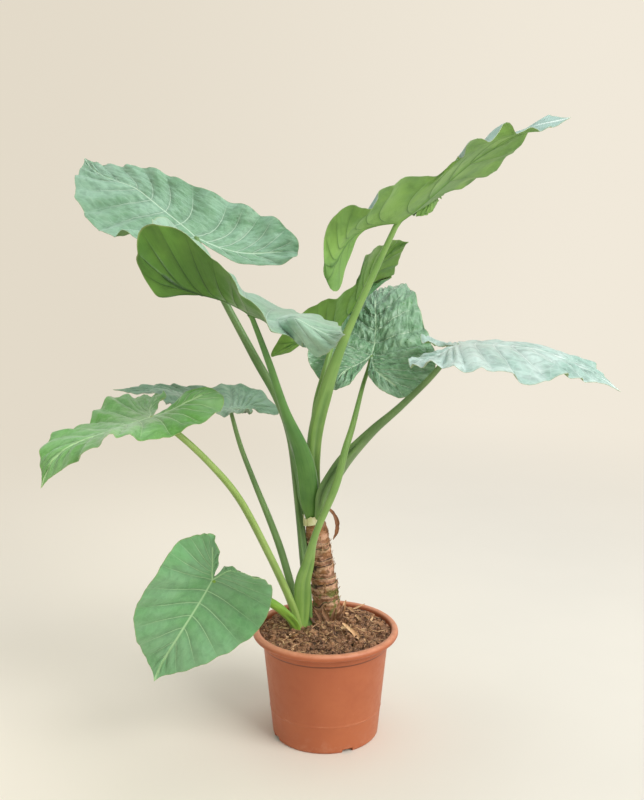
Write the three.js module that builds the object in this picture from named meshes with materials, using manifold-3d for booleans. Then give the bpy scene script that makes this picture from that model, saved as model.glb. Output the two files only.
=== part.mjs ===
// Potted alocasia: nine heart-shaped leaves on long stalks, a ringed trunk and a round plastic pot.
// Millimetres, +Z up. The origin is the centre of the pot's flat base, and the front of the plant faces -Y.
import * as THREE from 'three';
import Module from 'manifold-3d';
import { mergeVertices } from 'three/addons/utils/BufferGeometryUtils.js';

const wasm = await Module();
wasm.setup();

// ---------------------------------------------------------------- driving dimensions

const GAP = 0.3; // clearance between neighbouring pieces
const FINITE_STEP = 0.004; // step, in leaf lengths, for slopes of a blade

// Pot: outer profile radii and heights
const POT_SIDES = 32;
const POT_FLOOR = 3;
const POT_FOOT_RADIUS = 105.5;
const POT_WALL_LOW = [109.6, 4];
const POT_WALL_HIGH = [128.3, 196];
const POT_LINE_HEIGHT = 60; // faint moulded line round the wall
const POT_BAND_RADIUS = 132;
const POT_BAND_TOP = 213;
const POT_RIM_RADIUS = 150;
const POT_RIM_TOP = 228;
const POT_RIM_INNER = 136;
const POT_WALL = 2.9;
const POT_CORNER = 7; // height at which the inner face of the wall begins
const POT_STEP = [190, 197, 200]; // heights over which the inner face steps out behind the band
const POT_LIP = [212, 217, 222]; // heights over which it widens into the rim
const NOTCH_WIDTH = 23;
const NOTCH_HEIGHT = 8;
const NOTCH_DEPTH = 16;
const NOTCH_ANGLES = [-66, 24, 114, 204]; // degrees from -Y, turning towards +X
const POT_LINE_RISE = 0.7;
const POT_LINE_HALF = 3; // half the height of the moulded line

// Soil
const SOIL_EDGE = 220;
const SOIL_MOUND = 231;
const SOIL_ROUGHNESS = 2.6;
const SOIL_RINGS = 6;
const SOIL_SEED = 41;
const CHIP_COUNT = 14;
const CHIP_SIZE = [15, 4.5, 1.4];
const CHIP_REACH = [30, 88]; // nearest distance from the middle and how much further out chips lie
const CHIP_LIFT = 1;
const CHIP_LEAST = 0.6; // length of the shortest, as a share
const CHIP_SPREAD = 0.6; // how much longer the longest is
const CHIP_LEAN = 0.6; // widest range of its lean, radians

// Trunk: centre line and radius, [x, y, z, radius]
const TRUNK_LINE = [
  [4, 73, 150, 23],
  [4, 72, 229, 26],
  [-1, 70, 275, 27],
  [-6, 66, 321, 24.5],
  [-13, 60, 372, 23.5],
  [-19, 53, 425, 21.5],
  [-21, 51, 441, 15],
];
const TRUNK_SIDES = 12;
const TRUNK_ROWS = 36;
const SCAR_PITCH = 20; // from one ring to the next
const SCAR_RISE = 1.7; // how far a ring stands out
const SCAR_TILT = 5; // how far a ring slants across the trunk
const SCAR_SIDE = 0.8; // direction of the slant, radians
const SCAR_EDGE = 0.75; // share of a ring's height over which it rises before it drops back
const SCAR_START = [215, 240]; // heights over which the rings begin
const SCAR_END = [405, 425]; // heights over which they end

// Blades: one flat half outline in leaf lengths, [along the midrib, out from it], from tip to sinus
const OUTLINE = [
  [1, 0], [0.93, 0.03], [0.84, 0.1], [0.66, 0.23], [0.43, 0.345], [0.18, 0.415], [-0.06, 0.435],
  [-0.22, 0.41], [-0.34, 0.34], [-0.41, 0.24], [-0.38, 0.14], [-0.22, 0.06], [-0.03, 0],
];
const LOBE_RIB = [[0, 0], [-0.1, 0.06], [-0.22, 0.137], [-0.34, 0.205]]; // rib of the rear lobe
const WIDEST = 6; // outline point beside the stalk
const LOBE_POINTS = 3; // outline points from there to the end of the lobe, and as many on to the sinus
const FRONT_ROWS = 16;
const LOBE_ROWS = 6;
const ACROSS = [0, 0.1, 0.4, 0.72, 1]; // share of the way from rib to margin
const TIP_ORIGIN = 0.985; // where the first row leaves the midrib, in leaf lengths
const TIP_MARGIN = 0.15; // outline point where the first row ends
const ORIGIN_SPREAD = 1.05; // powers that crowd the rows a little towards the tip
const MARGIN_SPREAD = 1.2;
const BLADE_THICKNESS = 1.2;
const MIDRIB_RISE = 2.6;
const MIDRIB_LEAST = 0.25; // share of the midrib's rise left at the tip
const VEIN_RISE = 0.7;
const QUILT_RISE = 2.2; // how far the blade puffs up between two side veins
const QUILT_FADE = 3; // rows over which the puffing dies out at the tip and at the sinus
const VEIN_SWEEP = 0.35; // how far side veins bend towards the tip

// Margin waves: each row's crest is drawn between the least share and the whole of the leaf's wave height
const WAVE_SEED = 7919;
const WAVE_LEAST = 0.25;
const WAVE_STRAY = 0.7; // how much a row strays from the even up and down
const WAVE_INNER = 0.45; // share of the way from rib to margin where the waves begin
const WAVE_TIP = [3, 10]; // rows over which the waves grow from the tip
const WAVE_SINUS = 5; // rows over which they die out at the sinus
const LOBE_BLEND = 3; // rows before and behind the widest one over which a rear lobe's own waves set in
const SCALLOP = 0.0022; // how much further out a full crest reaches, as a share for each mm of wave

// Petioles
const PETIOLE_SIDES = 8;
const PETIOLE_STEPS = 2; // sections per stretch between two given points

const COLOURS = {
  pot: 0xb5694a,
  soil: 0x5d4632,
  trunk: 0x8d6f4c,
  stub: 0xe6e3bd,
  dry: 0x94694a,
  glaucous: 0x6fa58c,
  deep: 0x3f7d52,
  fresh: 0x6cae4f,
  stalkLight: 0x86b05e,
  stalkDark: 0x55824c,
};

// Each leaf: where its stalk joins the blade, points that its surface passes through (T the tip, M the
// middle of the midrib, L and R with a number that outline point on the left and right), and its stalk as
// [x, y, z, half width, half depth]. facing is the outward side of the stalk's flattened sheath.
const LEAVES = {
  1: {
    colour: 'glaucous', stalkColour: 'stalkDark', wave: 8, facing: [-0.6, -0.8],
    surface: {
      J: [-270, 170, 1015], M: [-415, 295, 1115], T: [-550, 440, 1180], R2: [-500, 400, 1165],
      R3: [-435, 355, 1160], R5: [-295, 270, 1125], R6: [-205, 225, 1090], R7: [-135, 205, 1060],
      R8: [-80, 175, 1035], R9: [-55, 160, 985], R10: [-95, 150, 960], R11: [-180, 135, 965],
      L2: [-550, 365, 1145], L3: [-540, 295, 1095], L4: [-500, 225, 1045], L5: [-443, 150, 1022],
      L6: [-386, 95, 1022], L7: [-344, 35, 980], L9: [-280, -15, 920], L11: [-250, 85, 965],
    },
    stalk: [
      [-270, 170, 1016, 5.5, 5], [-252, 150, 981, 6.5, 6], [-213, 110, 902, 7.5, 7], [-147, 80, 782, 9, 8],
      [-98, 72, 692, 9.5, 8], [-71, 66, 610, 9.5, 8], [-57, 62, 486, 9, 8], [-47, 48, 381, 9, 8],
      [-38, 26, 279, 10, 8], [-36, 18, 185, 9, 7],
    ],
  },
  2: {
    colour: 'glaucous', stalkColour: 'stalkLight', wave: 5, facing: [-0.35, -0.94],
    surface: {
      J: [-135, -160, 895], M: [-50, -280, 900], T: [30, -405, 890],
      R2: [15, -360, 865], R3: [-15, -325, 842], R4: [-43, -280, 860], R5: [-80, -290, 879],
      R6: [-140, -330, 950], R7: [-190, -285, 1005], R8: [-285, -255, 1061], R9: [-324, -245, 1012],
      R10: [-294, -230, 939], R11: [-215, -190, 935], L3: [20, -205, 880], L5: [-80, -10, 887],
      L6: [-155, -15, 927], L7: [-205, -25, 976], L9: [-315, -90, 1065], L11: [-225, -145, 955],
    },
    stalk: [
      [-136, -160, 895, 4.5, 4.5], [-106, -115, 799, 6.5, 6], [-79, -60, 696, 9.5, 8],
      [-49, -8, 600, 20, 12], [-37, 18, 535, 23, 14], [-35, 34, 489, 20, 13], [-28, 46, 438, 11, 9],
    ],
  },
  3: {
    colour: 'glaucous', stalkColour: 'stalkLight', wave: 10, lobeWaves: [1, 0.15],
    facing: [0.2, -0.98],
    surface: {
      J: [135, -60, 1055], M: [270, -80, 1165], T: [441, -95, 1241], R1: [415, -112, 1226],
      R2: [382, -125, 1219], R3: [316, -170, 1214], R4: [240, -245, 1185], R5: [195, -165, 1140],
      R6: [110, -220, 1130], R7: [75, -240, 1085], R8: [20, -210, 1075], R9: [-5, -195, 990],
      R10: [16, -175, 937], R11: [60, -105, 1030], L1: [419, -78, 1243], L2: [393, -65, 1240],
      L3: [345, 0, 1171], L4: [300, 85, 1130], L5: [235, 15, 1111], L7: [223, 105, 1089],
      L8: [211, 60, 1071], L9: [190, 20, 1063], L10: [173, 8, 1065], L11: [160, 4, 1068],
    },
    stalk: [
      [135, -60, 1056, 5, 5], [87, -60, 951, 6.5, 6], [39, -50, 840, 8, 7.5], [7, -30, 749, 13, 9],
      [-18, 2, 652, 14, 10], [-26, 30, 573, 14, 11], [-25, 46, 506, 14, 11], [-20, 54, 434, 12, 10],
    ],
  },
  4: {
    colour: 'glaucous', stalkColour: 'stalkLight', wave: 4, facing: [0.3, -0.95],
    surface: {
      J: [95, 90, 780], M: [105, 170, 875], T: [120, 350, 880],
      R3: [170, 230, 910], R4: [190, 165, 890], R5: [200, 105, 845], R7: [218, 20, 778],
      R8: [205, 10, 740], R9: [155, -5, 710], R10: [110, -5, 725], R11: [85, 30, 750],
      L3: [70, 240, 890], L5: [35, 150, 835], L7: [-35, 45, 800], L8: [-25, 25, 758],
      L9: [15, 10, 723], L10: [50, 0, 739], L11: [70, 40, 755],
    },
    stalk: [
      [95, 91, 780, 4, 4], [87, 76, 752, 4.2, 4.2], [74, 45, 719, 4.5, 4.5], [54, -10, 655, 6, 5.5],
      [39, -35, 612, 7, 6.5], [19, -45, 538, 8, 7], [-19, -38, 441, 7, 6.5], [-35, -24, 375, 12, 7],
      [-47, -14, 325, 16, 8], [-49, 0, 259, 15, 8], [-51, 6, 185, 10, 7],
    ],
  },
  5: {
    colour: 'glaucous', stalkColour: 'stalkDark', wave: 8, facing: [0.6, -0.8],
    surface: {
      J: [250, -100, 830], M: [394, -75, 817], T: [555, -105, 740], R1: [524, -108, 755],
      R2: [484, -120, 763], R3: [440, -150, 780], R4: [370, -195, 770], R5: [305, -230, 803],
      R6: [242, -260, 809], R7: [200, -250, 815], R9: [150, -190, 805], R11: [205, -135, 820],
      L2: [524, -45, 774], L3: [489, -5, 786], L4: [441, 25, 796], L5: [370, 25, 804], L7: [255, 40, 792],
      L9: [190, 5, 827], L11: [220, -50, 820],
    },
    stalk: [
      [250, -99, 831, 4.5, 4.5], [198, -75, 761, 6, 5.5], [144, -50, 700, 7.5, 6.5], [93, -28, 648, 11, 8],
      [39, -3, 581, 17, 9], [3, 12, 517, 19, 10], [-7, 24, 476, 16, 9], [-13, 39, 440, 10, 9],
    ],
  },
  6: {
    colour: 'deep', stalkColour: 'stalkLight', wave: 3, facing: [-0.8, 0.6],
    surface: {
      J: [25, 60, 845], M: [90, 65, 950], T: [165, 70, 1010],
      R2: [140, 45, 1015], R3: [100, 0, 1005], R4: [75, -60, 985], R5: [60, 5, 940],
      R6: [20, -35, 908], R7: [-15, -35, 900], R8: [-70, -25, 854], R9: [-105, -30, 798],
      R10: [-70, -20, 803], R11: [-25, 15, 825], L2: [155, 95, 990], L3: [145, 135, 955],
      L4: [140, 190, 930], L5: [115, 115, 930], L7: [45, 190, 885], L9: [25, 225, 845],
    },
    stalk: [
      [25, 60, 846, 4.5, 4.5], [10, 28, 799, 5.5, 5], [-5, 0, 748, 7, 6], [-18, 15, 690, 8, 7],
      [-25, 46, 591, 9, 8], [-24, 62, 502, 10, 8], [-20, 62, 436, 9, 8],
    ],
  },
  7: {
    colour: 'fresh', stalkColour: 'stalkLight', wave: 6, facing: [-0.9, -0.4],
    surface: {
      J: [-330, -120, 695], M: [-415, -215, 680], T: [-505, -255, 595],
      L2: [-465, -265, 630], L3: [-420, -295, 665], L4: [-365, -315, 705], L5: [-330, -255, 685],
      L6: [-275, -225, 685], L7: [-220, -205, 710], L8: [-190, -165, 720], L9: [-200, -140, 750],
      L10: [-245, -130, 750], L11: [-285, -125, 720], R2: [-510, -230, 645], R3: [-495, -175, 675],
      R4: [-455, -120, 680], R5: [-440, -55, 695], R6: [-415, 5, 710], R7: [-380, 30, 705],
      R9: [-325, 15, 715], R11: [-325, -60, 700],
    },
    stalk: [
      [-331, -120, 696, 5, 5], [-282, -112, 663, 6.5, 6], [-221, -95, 598, 7, 6.5],
      [-167, -70, 519, 7.5, 7], [-115, -40, 402, 8.5, 7.5], [-72, -12, 290, 10, 8], [-56, 0, 233, 11, 8],
      [-52, 2, 190, 9, 7],
    ],
  },
  8: {
    colour: 'deep', stalkColour: 'stalkDark', wave: 5, facing: [-0.9, 0.3],
    surface: {
      J: [-195, 60, 675], M: [-325, 165, 690], T: [-450, 155, 695],
      L2: [-395, 130, 690], L3: [-355, 95, 700], L5: [-295, -25, 695], L7: [-195, -70, 690],
      L9: [-145, -50, 690], R2: [-405, 190, 695], R3: [-370, 230, 690], R5: [-255, 170, 700],
      R6: [-200, 190, 700], R7: [-160, 180, 695], R8: [-120, 165, 675], R9: [-100, 140, 645],
      R10: [-135, 120, 655], R11: [-160, 90, 665],
    },
    stalk: [
      [-195, 60, 676, 4, 4], [-174, 50, 600, 5, 5], [-147, 41, 528, 6, 5.5], [-116, 36, 449, 8, 6.5],
      [-92, 31, 382, 10, 7], [-73, 25, 314, 12, 7], [-60, 20, 254, 11, 7], [-53, 16, 190, 9, 6],
    ],
  },
  9: {
    colour: 'deep', stalkColour: 'stalkDark', wave: 3, facing: [-0.7, -0.7],
    surface: {
      J: [-215, -150, 385], M: [-275, -155, 285], T: [-335, -135, 170],
      R2: [-350, -135, 220], R3: [-360, -165, 270], R4: [-360, -190, 330], R5: [-335, -210, 385],
      R6: [-300, -225, 440], R7: [-270, -210, 480], R8: [-230, -210, 495], R9: [-205, -215, 495],
      R10: [-195, -220, 465], R11: [-200, -185, 425], L2: [-290, -140, 190], L3: [-235, -155, 215],
      L4: [-180, -155, 245], L5: [-130, -170, 290], L6: [-105, -190, 345], L7: [-100, -205, 390],
      L8: [-115, -230, 415], L9: [-145, -245, 430], L10: [-170, -230, 440], L11: [-190, -190, 425],
    },
    stalk: [
      [-215, -150, 385, 5, 5], [-189, -120, 363, 7, 6.5], [-152, -95, 339, 9, 8], [-115, -60, 307, 10, 9],
      [-86, -35, 275, 11, 9], [-64, -12, 238, 12, 9], [-56, -6, 195, 10, 7],
    ],
  },
};

// Where stalks meet, the one named first keeps its shape and the later ones wrap round it.
const CROWN_ORDER = [6, 3, 5, 2];
const CLUMP_ORDER = [9, 7, 4, 8, 1];

// Cream stub of a cut sheath, wrapped round the left front of the trunk's top
const STUB_RADIUS = 25.5;
const STUB_FLARE = 2; // how much wider it is at its top
const STUB_THICKNESS = 2.4;
const STUB_COLUMNS = 12;
const STUB_ROWS = 3;
const STUB_HEIGHT = 21; // at its left end
const STUB_SLOPE = 0.5; // share of the height lost at its right end
const STUB_DIP = 0.3; // share of the height torn out of its top edge
const STUB_DIP_PLACE = 0.3; // place of that dip along the edge
const STUB_DIP_WIDTH = 0.12;
const STUB_FROM = -172; // degrees from +X
const STUB_TO = -64;
const STUB_BOTTOM = 431;
const STUB_CLIMB = 12; // how far its foot rises from left to right

// Dried sheath curling away on the right, [x, y, z, half width]
const DRY_LINE = [
  [-6, 33, 477, 5], [10, 39, 465, 5], [19, 37, 453, 6], [23, 35, 441, 7.5],
  [23.5, 35, 428, 7], [21, 36, 415, 5], [16, 38, 402, 1.5],
];
const DRY_THICKNESS = 1.2;
const SHELL_STEP = 0.01; // step along a shell for finding its direction, as a share
const DRY_COLUMNS = 4;
const DRY_ROWS = 14;
const DRY_TURN = [0.35, 0.5]; // turn of its face from the front at the top, and how much more at the tip
const DRY_CUP = 0.25;

// ---------------------------------------------------------------- helpers

// Repeatable random numbers in 0..1
function randomFrom(seed) {
  let state = seed >>> 0;
  return () => {
    state = (state * 1664525 + 1013904223) % 4294967296;
    return state / 4294967296;
  };
}

// Smooth curve through rows of numbers; t runs from 0 to the last index
function through(points, t) {
  const last = points.length - 1;
  const i = Math.min(Math.floor(t), last - 1);
  const u = t - i;
  const p1 = points[i];
  const p2 = points[i + 1];
  const p0 = i > 0 ? points[i - 1] : p1.map((c, k) => 2 * c - p2[k]);
  const p3 = i < last - 1 ? points[i + 2] : p2.map((c, k) => 2 * c - p1[k]);
  return p1.map((c, k) => 0.5 * (2 * c + (p2[k] - p0[k]) * u
    + (2 * p0[k] - 5 * c + 4 * p2[k] - p3[k]) * u * u
    + (3 * c - p0[k] - 3 * p2[k] + p3[k]) * u * u * u));
}

function geometryFrom(positions, triangles) {
  const geometry = new THREE.BufferGeometry();
  geometry.setAttribute('position', new THREE.Float32BufferAttribute(positions, 3));
  geometry.setIndex(triangles);
  return geometry;
}

function toSolid(geometry) {
  const bare = geometry.index ? geometry.clone() : geometry;
  bare.deleteAttribute('normal');
  bare.deleteAttribute('uv');
  const merged = mergeVertices(bare, 1e-4);
  return new wasm.Manifold(new wasm.Mesh({
    numProp: 3,
    vertProperties: new Float32Array(merged.attributes.position.array),
    triVerts: new Uint32Array(merged.index.array),
  }));
}

function toGeometry(solid) {
  const mesh = solid.getMesh();
  return geometryFrom(Array.from(mesh.vertProperties), Array.from(mesh.triVerts));
}

// The biggest separate body of a solid
function largest(solid) {
  return solid.decompose().reduce((best, piece) => (piece.volume() > best.volume() ? piece : best));
}

// A closed solid from an open sheet: tops and bottoms are matching points on its two faces
function solidSheet(tops, bottoms, triangles) {
  const count = tops.length;
  const positions = [...tops, ...bottoms].flatMap((p) => [p.x, p.y, p.z]);
  const faces = [];
  const edges = new Map();
  for (const [a, b, c] of triangles) {
    faces.push(a, b, c, a + count, c + count, b + count);
    for (const [from, to] of [[a, b], [b, c], [c, a]]) {
      edges.set(`${from}_${to}`, [from, to]);
    }
  }
  for (const [from, to] of edges.values()) {
    if (!edges.has(`${to}_${from}`)) {
      faces.push(to, from, from + count, to, from + count, to + count);
    }
  }
  return geometryFrom(positions, faces);
}

// ---------------------------------------------------------------- blades

function flatPoint(name) {
  if (name === 'J') return [0, 0];
  if (name === 'M') return [0.5, 0];
  if (name === 'T') return [1, 0];
  const [along, out] = OUTLINE[Number(name.slice(1))];
  return [along, name[0] === 'R' ? out : -out];
}

// Solves matrix * result = right side, both given as rows, by elimination
function solveRows(matrix, right) {
  const n = matrix.length;
  for (let col = 0; col < n; col += 1) {
    let pivot = col;
    for (let row = col + 1; row < n; row += 1) {
      if (Math.abs(matrix[row][col]) > Math.abs(matrix[pivot][col])) pivot = row;
    }
    [matrix[col], matrix[pivot]] = [matrix[pivot], matrix[col]];
    [right[col], right[pivot]] = [right[pivot], right[col]];
    for (let row = 0; row < n; row += 1) {
      if (row === col) continue;
      const factor = matrix[row][col] / matrix[col][col];
      for (let k = col; k < n; k += 1) matrix[row][k] -= factor * matrix[col][k];
      right[row] = right[row].map((c, k) => c - factor * right[col][k]);
    }
  }
  return right.map((row, i) => row.map((c) => c / matrix[i][i]));
}

const bendKernel = (distance) => (distance > 0 ? distance * distance * Math.log(distance) : 0);

// Bends the flat leaf like a thin plate through its surface points: (along, out) to a point in space
function bendPlate(surface) {
  const flat = Object.keys(surface).map(flatPoint);
  const n = flat.length;
  const matrix = flat.map((p) => [
    ...flat.map((q) => bendKernel(Math.hypot(p[0] - q[0], p[1] - q[1]))), 1, p[0], p[1],
  ]);
  for (let k = 0; k < 3; k += 1) {
    matrix.push([...flat.map((p) => [1, p[0], p[1]][k]), 0, 0, 0]);
  }
  const zero = [0, 0, 0];
  const weights = solveRows(matrix, [...Object.values(surface), zero, zero, zero]);
  return (along, out) => {
    const terms = [...flat.map((q) => bendKernel(Math.hypot(along - q[0], out - q[1]))), 1, along, out];
    const point = [0, 0, 0];
    terms.forEach((term, i) => {
      for (let k = 0; k < 3; k += 1) point[k] += term * weights[i][k];
    });
    return new THREE.Vector3(...point);
  };
}

// The upper side's direction at a flat point
function upperNormal(plate, along, out) {
  const lengthwise = plate(along + FINITE_STEP, out).sub(plate(along - FINITE_STEP, out));
  const sideways = plate(along, out + FINITE_STEP).sub(plate(along, out - FINITE_STEP));
  return sideways.cross(lengthwise).normalize();
}

// Rows of one half, each from its rib out to the margin. Even rows follow side veins.
function halfRows() {
  const rows = [];
  const total = FRONT_ROWS + 2 * LOBE_ROWS;
  for (let k = 0; k <= total; k += 1) {
    let origin;
    let margin;
    let sweep = 1;
    if (k <= FRONT_ROWS) {
      const u = k / FRONT_ROWS;
      origin = [TIP_ORIGIN * (1 - u) ** ORIGIN_SPREAD, 0];
      margin = TIP_MARGIN + (WIDEST - TIP_MARGIN) * u ** MARGIN_SPREAD;
      sweep = 1 + VEIN_SWEEP * (1 - u ** 3);
    } else {
      const u = (k - FRONT_ROWS) / LOBE_ROWS;
      origin = through(LOBE_RIB, (LOBE_RIB.length - 1) * (u <= 1 ? u : 2 - u));
      margin = WIDEST + LOBE_POINTS * u;
    }
    const end = through(OUTLINE, margin);
    rows.push(ACROSS.map((share) => [
      origin[0] + (end[0] - origin[0]) * share ** sweep,
      origin[1] + (end[1] - origin[1]) * share,
    ]));
  }
  return rows;
}

function smooth(from, to, value) {
  const u = Math.min(1, Math.max(0, (value - from) / (to - from)));
  return u * u * (3 - 2 * u);
}

// One blade as a closed sheet with a raised midrib, side veins, puffed fields and a waved margin
function bladeSolid(number, grow = 0) {
  const { surface, wave, lobeWaves = [1, 1] } = LEAVES[number];
  const plate = bendPlate(surface);
  const random = randomFrom(number * WAVE_SEED);
  const rows = halfRows();
  const last = rows.length - 1;
  const tops = [];
  const bottoms = [];
  const triangles = [];
  const known = new Map();

  function vertex(along, out, lift, ribRise) {
    const key = `${along.toFixed(5)}_${Math.abs(out) < 1e-6 ? 0 : out.toFixed(5)}`;
    if (!known.has(key)) {
      const normal = upperNormal(plate, along, out);
      const middle = plate(along, out).addScaledVector(normal, lift);
      const half = BLADE_THICKNESS / 2 + grow;
      tops.push(middle.clone().addScaledVector(normal, half));
      bottoms.push(middle.clone().addScaledVector(normal, -half - ribRise));
      known.set(key, tops.length - 1);
    }
    return known.get(key);
  }

  const tip = vertex(1, 0, 0, 0);
  for (const side of [1, -1]) {
    const lobeWave = lobeWaves[side > 0 ? 0 : 1];
    const grid = rows.map((row, k) => {
      const lobe = 1 + (lobeWave - 1) * smooth(FRONT_ROWS - LOBE_BLEND, FRONT_ROWS + LOBE_BLEND, k);
      const height = WAVE_LEAST + (1 - WAVE_LEAST) * random();
      const waveEnds = smooth(...WAVE_TIP, k) * smooth(0, WAVE_SINUS, last - k);
      const crest = ((k % 2 ? height : -height) + WAVE_STRAY * (random() - 0.5)) * waveEnds * lobe;
      const quilt = k % 2 ? QUILT_RISE * smooth(0, QUILT_FADE, k) * smooth(0, QUILT_FADE, last - k) : 0;
      return row.map(([along, out], i) => {
        const share = ACROSS[i];
        const lift = wave * crest * smooth(WAVE_INNER, 1, share) + quilt * Math.sin(Math.PI * share);
        const reach = 1 + SCALLOP * wave * crest * share ** 3;
        const taper = MIDRIB_LEAST + (1 - MIDRIB_LEAST) * (1 - Math.abs(along));
        const main = share === 0 ? MIDRIB_RISE * taper : 0;
        const vein = k % 2 === 0 && share > 0 && share < 1 ? VEIN_RISE : 0;
        return vertex(along * reach, side * out * reach, lift, main + vein);
      });
    });
    const face = (a, b, c) => {
      if (a !== b && b !== c && c !== a) triangles.push(side > 0 ? [a, c, b] : [a, b, c]);
    };
    for (let i = 0; i + 1 < ACROSS.length; i += 1) face(tip, grid[0][i + 1], grid[0][i]);
    for (let k = 0; k + 1 < grid.length; k += 1) {
      const outerLobe = k >= FRONT_ROWS && k < FRONT_ROWS + LOBE_ROWS;
      for (let i = 0; i + 1 < ACROSS.length; i += 1) {
        const [a, b, c, d] = [grid[k][i], grid[k][i + 1], grid[k + 1][i + 1], grid[k + 1][i]];
        if (outerLobe) {
          face(a, b, d);
          face(b, c, d);
        } else {
          face(a, b, c);
          face(a, c, d);
        }
      }
    }
  }
  return toSolid(solidSheet(tops, bottoms, triangles));
}

// ---------------------------------------------------------------- stems

// A closed rod along a smooth line. Each section is an oval; bump(angle, height) adds to its radius.
function rod(line, sides, sections, facing, bump = () => 0) {
  const front = new THREE.Vector3(...facing, 0).normalize();
  const positions = [];
  const triangles = [];
  const last = line.length - 1;
  for (let s = 0; s <= sections; s += 1) {
    const t = (s / sections) * last;
    const [x, y, z, halfWidth, halfDepth] = through(line, t);
    const ahead = through(line, Math.min(last, t + 0.02));
    const behind = through(line, Math.max(0, t - 0.02));
    const along = new THREE.Vector3(ahead[0] - behind[0], ahead[1] - behind[1], ahead[2] - behind[2]);
    along.normalize();
    const wide = new THREE.Vector3().crossVectors(along, front).normalize();
    const deep = new THREE.Vector3().crossVectors(wide, along);
    for (let i = 0; i < sides; i += 1) {
      const angle = (i / sides) * 2 * Math.PI;
      const extra = bump(angle, z);
      const p = new THREE.Vector3(x, y, z)
        .addScaledVector(wide, (halfWidth + extra) * Math.cos(angle))
        .addScaledVector(deep, (halfDepth + extra) * Math.sin(angle));
      positions.push(p.x, p.y, p.z);
      if (s > 0) {
        const a = (s - 1) * sides + i;
        const b = (s - 1) * sides + ((i + 1) % sides);
        triangles.push(a, b, b + sides, a, b + sides, a + sides);
      }
    }
  }
  const start = positions.length / 3;
  positions.push(...line[0].slice(0, 3), ...line[last].slice(0, 3));
  for (let i = 0; i < sides; i += 1) {
    const next = (i + 1) % sides;
    triangles.push(start, next, i);
    triangles.push(start + 1, sections * sides + i, sections * sides + next);
  }
  const solid = toSolid(geometryFrom(positions, triangles));
  return solid.volume() > 0 ? solid : toSolid(geometryFrom(positions, triangles.reverse()));
}

function petioleSolid(number, grow = 0) {
  const { stalk, facing } = LEAVES[number];
  const line = stalk.map(([x, y, z, w, d]) => [x, y, z, w + grow, d + grow]);
  return rod(line, PETIOLE_SIDES, (line.length - 1) * PETIOLE_STEPS, facing);
}

// Slanted rings of leaf scars: each rises slowly and drops back sharply
function trunkSolid(grow = 0) {
  const line = TRUNK_LINE.map(([x, y, z, r]) => [x, y, z, r + grow, r + grow]);
  const scar = (angle, height) => {
    const side = SCAR_SIDE + (Math.PI * height) / SCAR_PITCH; // each ring leans the other way from the last
    const turn = (height + SCAR_TILT * Math.cos(angle - side)) / SCAR_PITCH;
    const share = turn - Math.floor(turn);
    const fade = smooth(...SCAR_START, height) * (1 - smooth(...SCAR_END, height));
    return SCAR_RISE * fade * (share < SCAR_EDGE ? share / SCAR_EDGE : (1 - share) / (1 - SCAR_EDGE));
  };
  return rod(line, TRUNK_SIDES, TRUNK_ROWS, [0, -1], scar);
}

// ---------------------------------------------------------------- pot and soil

function lathe(profile) {
  const points = profile.map(([r, z]) => new THREE.Vector2(r, z));
  const geometry = new THREE.LatheGeometry(points, POT_SIDES);
  geometry.rotateX(Math.PI / 2); // the profile's height becomes +Z
  return toSolid(geometry);
}

// Radius of the wall's outer face at a height
function wallRadius(z) {
  const share = (z - POT_WALL_LOW[1]) / (POT_WALL_HIGH[1] - POT_WALL_LOW[1]);
  return POT_WALL_LOW[0] + share * (POT_WALL_HIGH[0] - POT_WALL_LOW[0]);
}

function potInside() {
  return [
    [POT_FOOT_RADIUS - 2, POT_FLOOR],
    [wallRadius(POT_CORNER) - POT_WALL, POT_CORNER],
    [wallRadius(POT_STEP[0]) - POT_WALL, POT_STEP[0]],
    [wallRadius(POT_STEP[1]) - POT_WALL, POT_STEP[1]],
    [POT_BAND_RADIUS - POT_WALL - 1, POT_STEP[2]],
    [POT_BAND_RADIUS - POT_WALL, POT_LIP[0]],
    [POT_RIM_INNER - 1, POT_LIP[1]],
    [POT_RIM_INNER, POT_LIP[2]],
  ];
}

function potSolid() {
  const line = POT_LINE_HEIGHT;
  const profile = [
    [0, 0],
    [POT_FOOT_RADIUS, 0],
    [POT_WALL_LOW[0] - 1.2, 1.4],
    POT_WALL_LOW,
    [wallRadius(line - POT_LINE_HALF), line - POT_LINE_HALF],
    [wallRadius(line) + POT_LINE_RISE, line],
    [wallRadius(line + POT_LINE_HALF), line + POT_LINE_HALF],
    POT_WALL_HIGH,
    [POT_BAND_RADIUS - 1.2, POT_WALL_HIGH[1] + 1.5],
    [POT_BAND_RADIUS, POT_BAND_TOP],
    [POT_RIM_RADIUS - 6, POT_BAND_TOP],
    [POT_RIM_RADIUS - 1.5, POT_BAND_TOP + 3],
    [POT_RIM_RADIUS, POT_BAND_TOP + 7],
    [POT_RIM_RADIUS - 1.5, POT_RIM_TOP - 3],
    [POT_RIM_RADIUS - 6, POT_RIM_TOP],
    [POT_RIM_INNER + 3, POT_RIM_TOP - 0.5],
    [POT_RIM_INNER + 0.8, POT_RIM_TOP - 3],
    ...potInside().reverse(),
    [0, POT_FLOOR],
  ];
  let pot = lathe(profile);
  for (const degrees of NOTCH_ANGLES) {
    const notch = new THREE.BoxGeometry(NOTCH_WIDTH, NOTCH_DEPTH, 2 * NOTCH_HEIGHT);
    notch.translate(0, -POT_FOOT_RADIUS - 1, 0);
    notch.rotateZ(THREE.MathUtils.degToRad(degrees));
    pot = pot.subtract(toSolid(notch));
  }
  return pot;
}

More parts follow.
